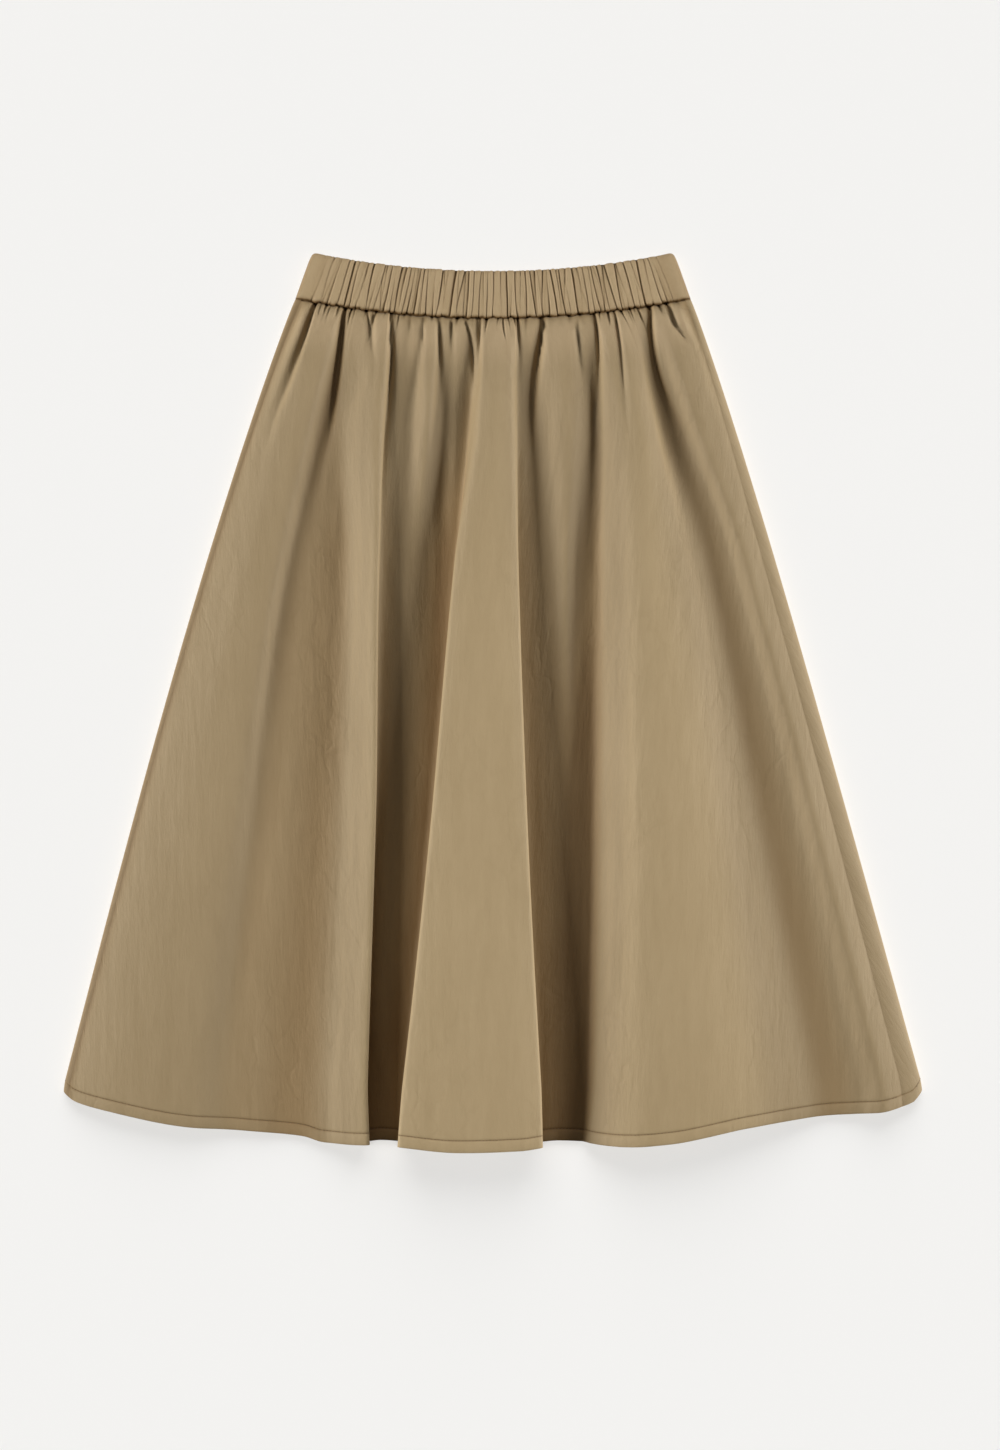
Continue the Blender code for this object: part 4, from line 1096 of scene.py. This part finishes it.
def stitch_tree():
    """Geometry nodes: a row of thread stitches along a path of edges."""
    name = "Running stitches"
    if name in bpy.data.node_groups:
        return bpy.data.node_groups[name]
    tree = bpy.data.node_groups.new(name, "GeometryNodeTree")
    group_sockets(tree, "INPUT", (
        ("Path", "Geometry", None), ("Pitch", "Float", 0.003), ("Length", "Float", 0.0024),
        ("Radius", "Float", 0.0002), ("Turn", "Float", 0.10), ("Seed", "Int", 4),
        ("Thread", "Material", None)))
    group_sockets(tree, "OUTPUT", (("Stitches", "Geometry", None),))
    start = tree.nodes.new("NodeGroupInput").outputs
    end = tree.nodes.new("NodeGroupOutput")
    path = add_node(tree, "GeometryNodeMeshToCurve", {}, {"Mesh": start["Path"]})
    spaced = add_node(tree, "GeometryNodeResampleCurve", {"mode": "LENGTH"}, {
        "Curve": path.outputs["Curve"], "Length": start["Pitch"]})

    # Each stitch lies along the path, turned a little to one side or the other.
    along = add_node(tree, "GeometryNodeInputTangent", {}, {})
    aim = add_node(tree, "FunctionNodeAlignRotationToVector", {"axis": "X"}, {
        "Vector": along.outputs["Tangent"]})
    back = arithmetic(tree, "MULTIPLY", start["Turn"], -1.0)
    wobble = add_node(tree, "FunctionNodeRandomValue", {"data_type": "FLOAT"}, {
        2: back, 3: start["Turn"], "Seed": start["Seed"]})
    tilt = add_node(tree, "ShaderNodeCombineXYZ", {}, {"Z": wobble.outputs[1]})
    turned = add_node(tree, "FunctionNodeRotateRotation", {"rotation_space": "LOCAL"}, {
        "Rotation": aim.outputs["Rotation"], "Rotate By": tilt.outputs["Vector"]})

    bead = add_node(tree, "GeometryNodeMeshUVSphere", {}, {"Segments": 8, "Rings": 5, "Radius": 1.0})
    size = add_node(tree, "ShaderNodeCombineXYZ", {}, {
        "X": arithmetic(tree, "MULTIPLY", start["Length"], 0.5), "Y": start["Radius"], "Z": start["Radius"]})
    place = add_node(tree, "GeometryNodeInstanceOnPoints", {}, {
        "Points": spaced.outputs["Curve"], "Instance": bead.outputs["Mesh"],
        "Rotation": turned.outputs["Rotation"], "Scale": size.outputs["Vector"]})
    real = add_node(tree, "GeometryNodeRealizeInstances", {}, {"Geometry": place.outputs["Instances"]})
    paint = add_node(tree, "GeometryNodeSetMaterial", {}, {
        "Geometry": real.outputs["Geometry"], "Material": start["Thread"]})
    tree.links.new(paint.outputs["Geometry"], end.inputs["Stitches"])
    return tree


def sew_along(name, points, sizes, thread):
    """Stitches along a line of points, as one plain mesh that rides with the skirt."""
    mesh = bpy.data.meshes.new(name + "_path")
    edges = [(i, i + 1) for i in range(len(points) - 1)]
    mesh.from_pydata([tuple(p) for p in points], edges, [])
    guide = bpy.data.objects.new(name + "_path", mesh)
    bpy.context.scene.collection.objects.link(guide)
    modifier = guide.modifiers.new("Stitches", "NODES")
    modifier.node_group = stitch_tree()
    values = {
        "Pitch": sizes.pitch,
        "Length": sizes.length,
        "Radius": sizes.radius,
        "Seed": sizes.seed,
        "Thread": thread,
    }
    for item in modifier.node_group.interface.items_tree:
        if item.in_out == "INPUT" and item.name in values:
            modifier[item.identifier] = values[item.name]
    graph = bpy.context.evaluated_depsgraph_get()
    made = bpy.data.meshes.new_from_object(guide.evaluated_get(graph))
    made.name = name
    if not made.polygons:
        raise RuntimeError(name + " has no stitches")
    made.shade_smooth()
    if not made.materials:
        made.materials.append(thread)
    bpy.data.objects.remove(guide)
    piece = bpy.data.objects.new(name, made)
    bpy.context.scene.collection.objects.link(piece)
    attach(piece, "root")


def face_normals(grid):
    """Outward directions at the points of a grid."""
    along = np.gradient(grid, axis=1)
    down = np.gradient(grid, axis=0)
    out = np.cross(down, along)
    return out / np.maximum(np.linalg.norm(out, axis=2, keepdims=True), 1e-9)


def settle(piece, flat, area, rests_on, *nodes):
    """A finished sheet of cloth: where it rides, and the CAD parts it stands for, which it hides. flat, area
    and rests_on are not used.
    """
    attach(piece, "root")
    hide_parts(*nodes)


class SKIRT_OT_front_panel(Operator):
    """Make the front panel with its gathers, flutes and turned-up hem"""

    bl_idname = "skirt.front_panel"
    bl_label = "Front panel"

    def execute(self, context):
        scene = context.scene
        sizes = scene.skirt_sizes
        stitch = scene.skirt_stitches
        grid = front_grid(sizes)
        cloth = tan_cloth("Tan cloth", scene.skirt_colours, 1.0, FOLD_LIGHT_AND_SHADE)
        painted_shade = [painted_shade_share(sizes, down) for down in row_places(sizes, FRONT_ROWS)]
        piece = make_sheet("front_panel_cloth", grid, cloth_uv(grid), painted_shade, FRONT_SIDE_SHADE,
                           sizes.panel_wall, cloth)
        settle(piece, FRONT_FLAT, FRONT_AREA, ["back_panel"], "front_panel")
        row = len(grid) - 1 - HEM_STITCH_ROW
        line = grid[row, 3:-3] + face_normals(grid)[row, 3:-3] * stitch.radius * 0.5
        sew_along("front_hem_stitches", line, stitch, sewing_thread(scene.skirt_colours))
        return {"FINISHED"}


class SKIRT_OT_back_panel(Operator):
    """Make the back panel, which rolls round both sides to the side seams"""

    bl_idname = "skirt.back_panel"
    bl_label = "Back panel"

    def execute(self, context):
        scene = context.scene
        sizes = scene.skirt_sizes
        stitch = scene.skirt_stitches
        grid = back_grid(sizes)[::-1]
        cloth = tan_cloth("Tan cloth, back", scene.skirt_colours, 1.0, ())
        painted_shade = [painted_shade_share(sizes, down) for down in row_places(sizes, BACK_ROWS)][::-1]
        piece = make_sheet("back_panel_cloth", grid, cloth_uv(grid), painted_shade, BACK_SIDE_SHADE,
                           sizes.panel_wall, cloth)
        settle(piece, BACK_FLAT, BACK_AREA, ["floor"], "back_panel")
        row = HEM_STITCH_ROW
        line = grid[row, 3:-3] + face_normals(grid)[row, 3:-3] * stitch.radius * 0.3
        line[:, 2] = np.maximum(line[:, 2], stitch.radius)
        sew_along("back_hem_stitches", line, stitch, sewing_thread(scene.skirt_colours))
        return {"FINISHED"}


class SKIRT_OT_waistband(Operator):
    """Make both halves of the gathered waistband casing"""

    bl_idname = "skirt.waistband"
    bl_label = "Waistband"

    def execute(self, context):
        scene = context.scene
        sizes = scene.skirt_sizes
        cloth = tan_cloth("Tan cloth, gathered", scene.skirt_colours, 0.8, BAND_HIGHLIGHTS)
        for name, node, front in (("waistband_front_cloth", "waistband_front", True),
                                  ("waistband_back_cloth", "waistband_back", False)):
            grid, painted_shade = band_grid(sizes, front)
            piece = make_sheet(name, grid, cloth_uv(grid), painted_shade, BAND_SIDE_SHADE, sizes.casing_wall, cloth)
            under = ["waistband_back"] if front else ["floor"]
            settle(piece, BAND_FLAT, None, under, node)
        return {"FINISHED"}


def add_lamp(name, kind, form, place, aim, lit):
    """Light that stands at place, shines along aim, and falls on what one collection says."""
    light = bpy.data.lights.new(name, kind)
    for key, value in form.items():
        setattr(light, key, value)
    lamp = bpy.data.objects.new(name, light)
    lamp.location = place
    lamp.rotation_euler = aim.to_track_quat("-Z", "Y").to_euler()
    bpy.context.scene.collection.objects.link(lamp)
    lamp.light_linking.receiver_collection = lit


# Size of the floor and its level in m, and the width of the camera's sensor in mm
FLOOR_SIZE = 14.0
FLOOR_LEVEL = -0.0002
SENSOR = 36.0


class SKIRT_OT_studio(Operator):
    """Make the pale floor, the soft lights and the camera straight above"""

    bl_idname = "skirt.studio"
    bl_label = "Studio"

    def execute(self, context):
        scene = context.scene
        studio = scene.skirt_studio
        bpy.ops.mesh.primitive_plane_add(size=FLOOR_SIZE, location=(0.0, 0.0, FLOOR_LEVEL))
        floor = context.object
        floor.name = "floor"
        floor.data.materials.append(pale_floor(scene.skirt_colours))

        # The softboxes shape the folds of the cloth, and the two wide lights fall on the floor alone.
        but_floor = bpy.data.collections.new("All but the floor")
        but_floor.objects.link(floor)
        but_floor.collection_objects[0].light_linking.link_state = "EXCLUDE"
        only_floor = bpy.data.collections.new("Floor alone")
        only_floor.objects.link(floor)
        for name, place, size, power in (
                ("Left softbox", (-5.0, 0.2, 2.4), (1.5, 2.4), studio.left_power),
                ("Right softbox", (5.0, 0.2, 1.4), (1.5, 2.4), studio.right_power),
                ("Waist softbox", (0.0, 4.0, 3.2), (4.0, 1.5), studio.waist_power)):
            form = {"shape": "RECTANGLE", "size": size[0], "size_y": size[1], "energy": power}
            add_lamp(name, "AREA", form, place, -Vector(place), but_floor)
        for name, aim, angle, strength in (
                ("Light from above", (0.0, 0.0, -1.0), 24.0, studio.floor_light),
                ("Low wide light", (0.0, -1.0, -0.55), 50.0, studio.shadow_light)):
            form = {"energy": strength, "angle": math.radians(angle)}
            add_lamp(name, "SUN", form, (0.0, 0.0, 0.0), Vector(aim), only_floor)

        world = bpy.data.worlds.new("Studio")
        world.use_nodes = True
        world.node_tree.nodes["Background"].inputs["Color"].default_value = (1.0, 1.0, 1.0, 1.0)
        world.node_tree.nodes["Background"].inputs["Strength"].default_value = studio.sky
        scene.world = world

        lens = bpy.data.cameras.new("Camera")
        lens.sensor_width = SENSOR
        lens.lens = SENSOR * studio.camera_height / studio.view_height
        camera = bpy.data.objects.new("Camera", lens)
        camera.location = (studio.camera_x, studio.camera_y, studio.camera_height)
        scene.collection.objects.link(camera)
        scene.camera = camera
        scene.view_settings.view_transform = "Standard"
        scene.view_settings.look = "None"
        scene.view_settings.exposure = 0.0
        return {"FINISHED"}


class SKIRT_PT_panel(Panel):
    """Sizes, colours and steps of the skirt"""

    bl_label = "Gathered skirt"
    bl_idname = "SKIRT_PT_panel"
    bl_space_type = "VIEW_3D"
    bl_region_type = "UI"
    bl_category = "Skirt"

    def draw(self, context):
        layout = self.layout
        scene = context.scene
        for title, group in (("Sizes", scene.skirt_sizes), ("Sewing", scene.skirt_stitches),
                             ("Colours", scene.skirt_colours), ("Studio", scene.skirt_studio)):
            box = layout.box()
            box.label(text=title)
            for key in group.__annotations__:
                box.prop(group, key)
        for step in STEPS:
            layout.operator(step.bl_idname)


GROUPS = (SkirtSizes, StitchSizes, SkirtColours, StudioSizes)
STEPS = (SKIRT_OT_studio, SKIRT_OT_back_panel, SKIRT_OT_front_panel, SKIRT_OT_waistband)
CLASSES = GROUPS + STEPS + (SKIRT_PT_panel,)


def register():
    for item in CLASSES:
        bpy.utils.register_class(item)
    bpy.types.Scene.skirt_sizes = PointerProperty(type=SkirtSizes)
    bpy.types.Scene.skirt_stitches = PointerProperty(type=StitchSizes)
    bpy.types.Scene.skirt_colours = PointerProperty(type=SkirtColours)
    bpy.types.Scene.skirt_studio = PointerProperty(type=StudioSizes)


def unregister():
    del bpy.types.Scene.skirt_studio
    del bpy.types.Scene.skirt_colours
    del bpy.types.Scene.skirt_stitches
    del bpy.types.Scene.skirt_sizes
    for item in reversed(CLASSES):
        bpy.utils.unregister_class(item)


def main():
    """Makes the studio and every piece of the skirt."""
    register()
    bpy.ops.skirt.studio()
    bpy.ops.skirt.back_panel()
    bpy.ops.skirt.front_panel()
    bpy.ops.skirt.waistband()


if __name__ == "__main__":
    main()
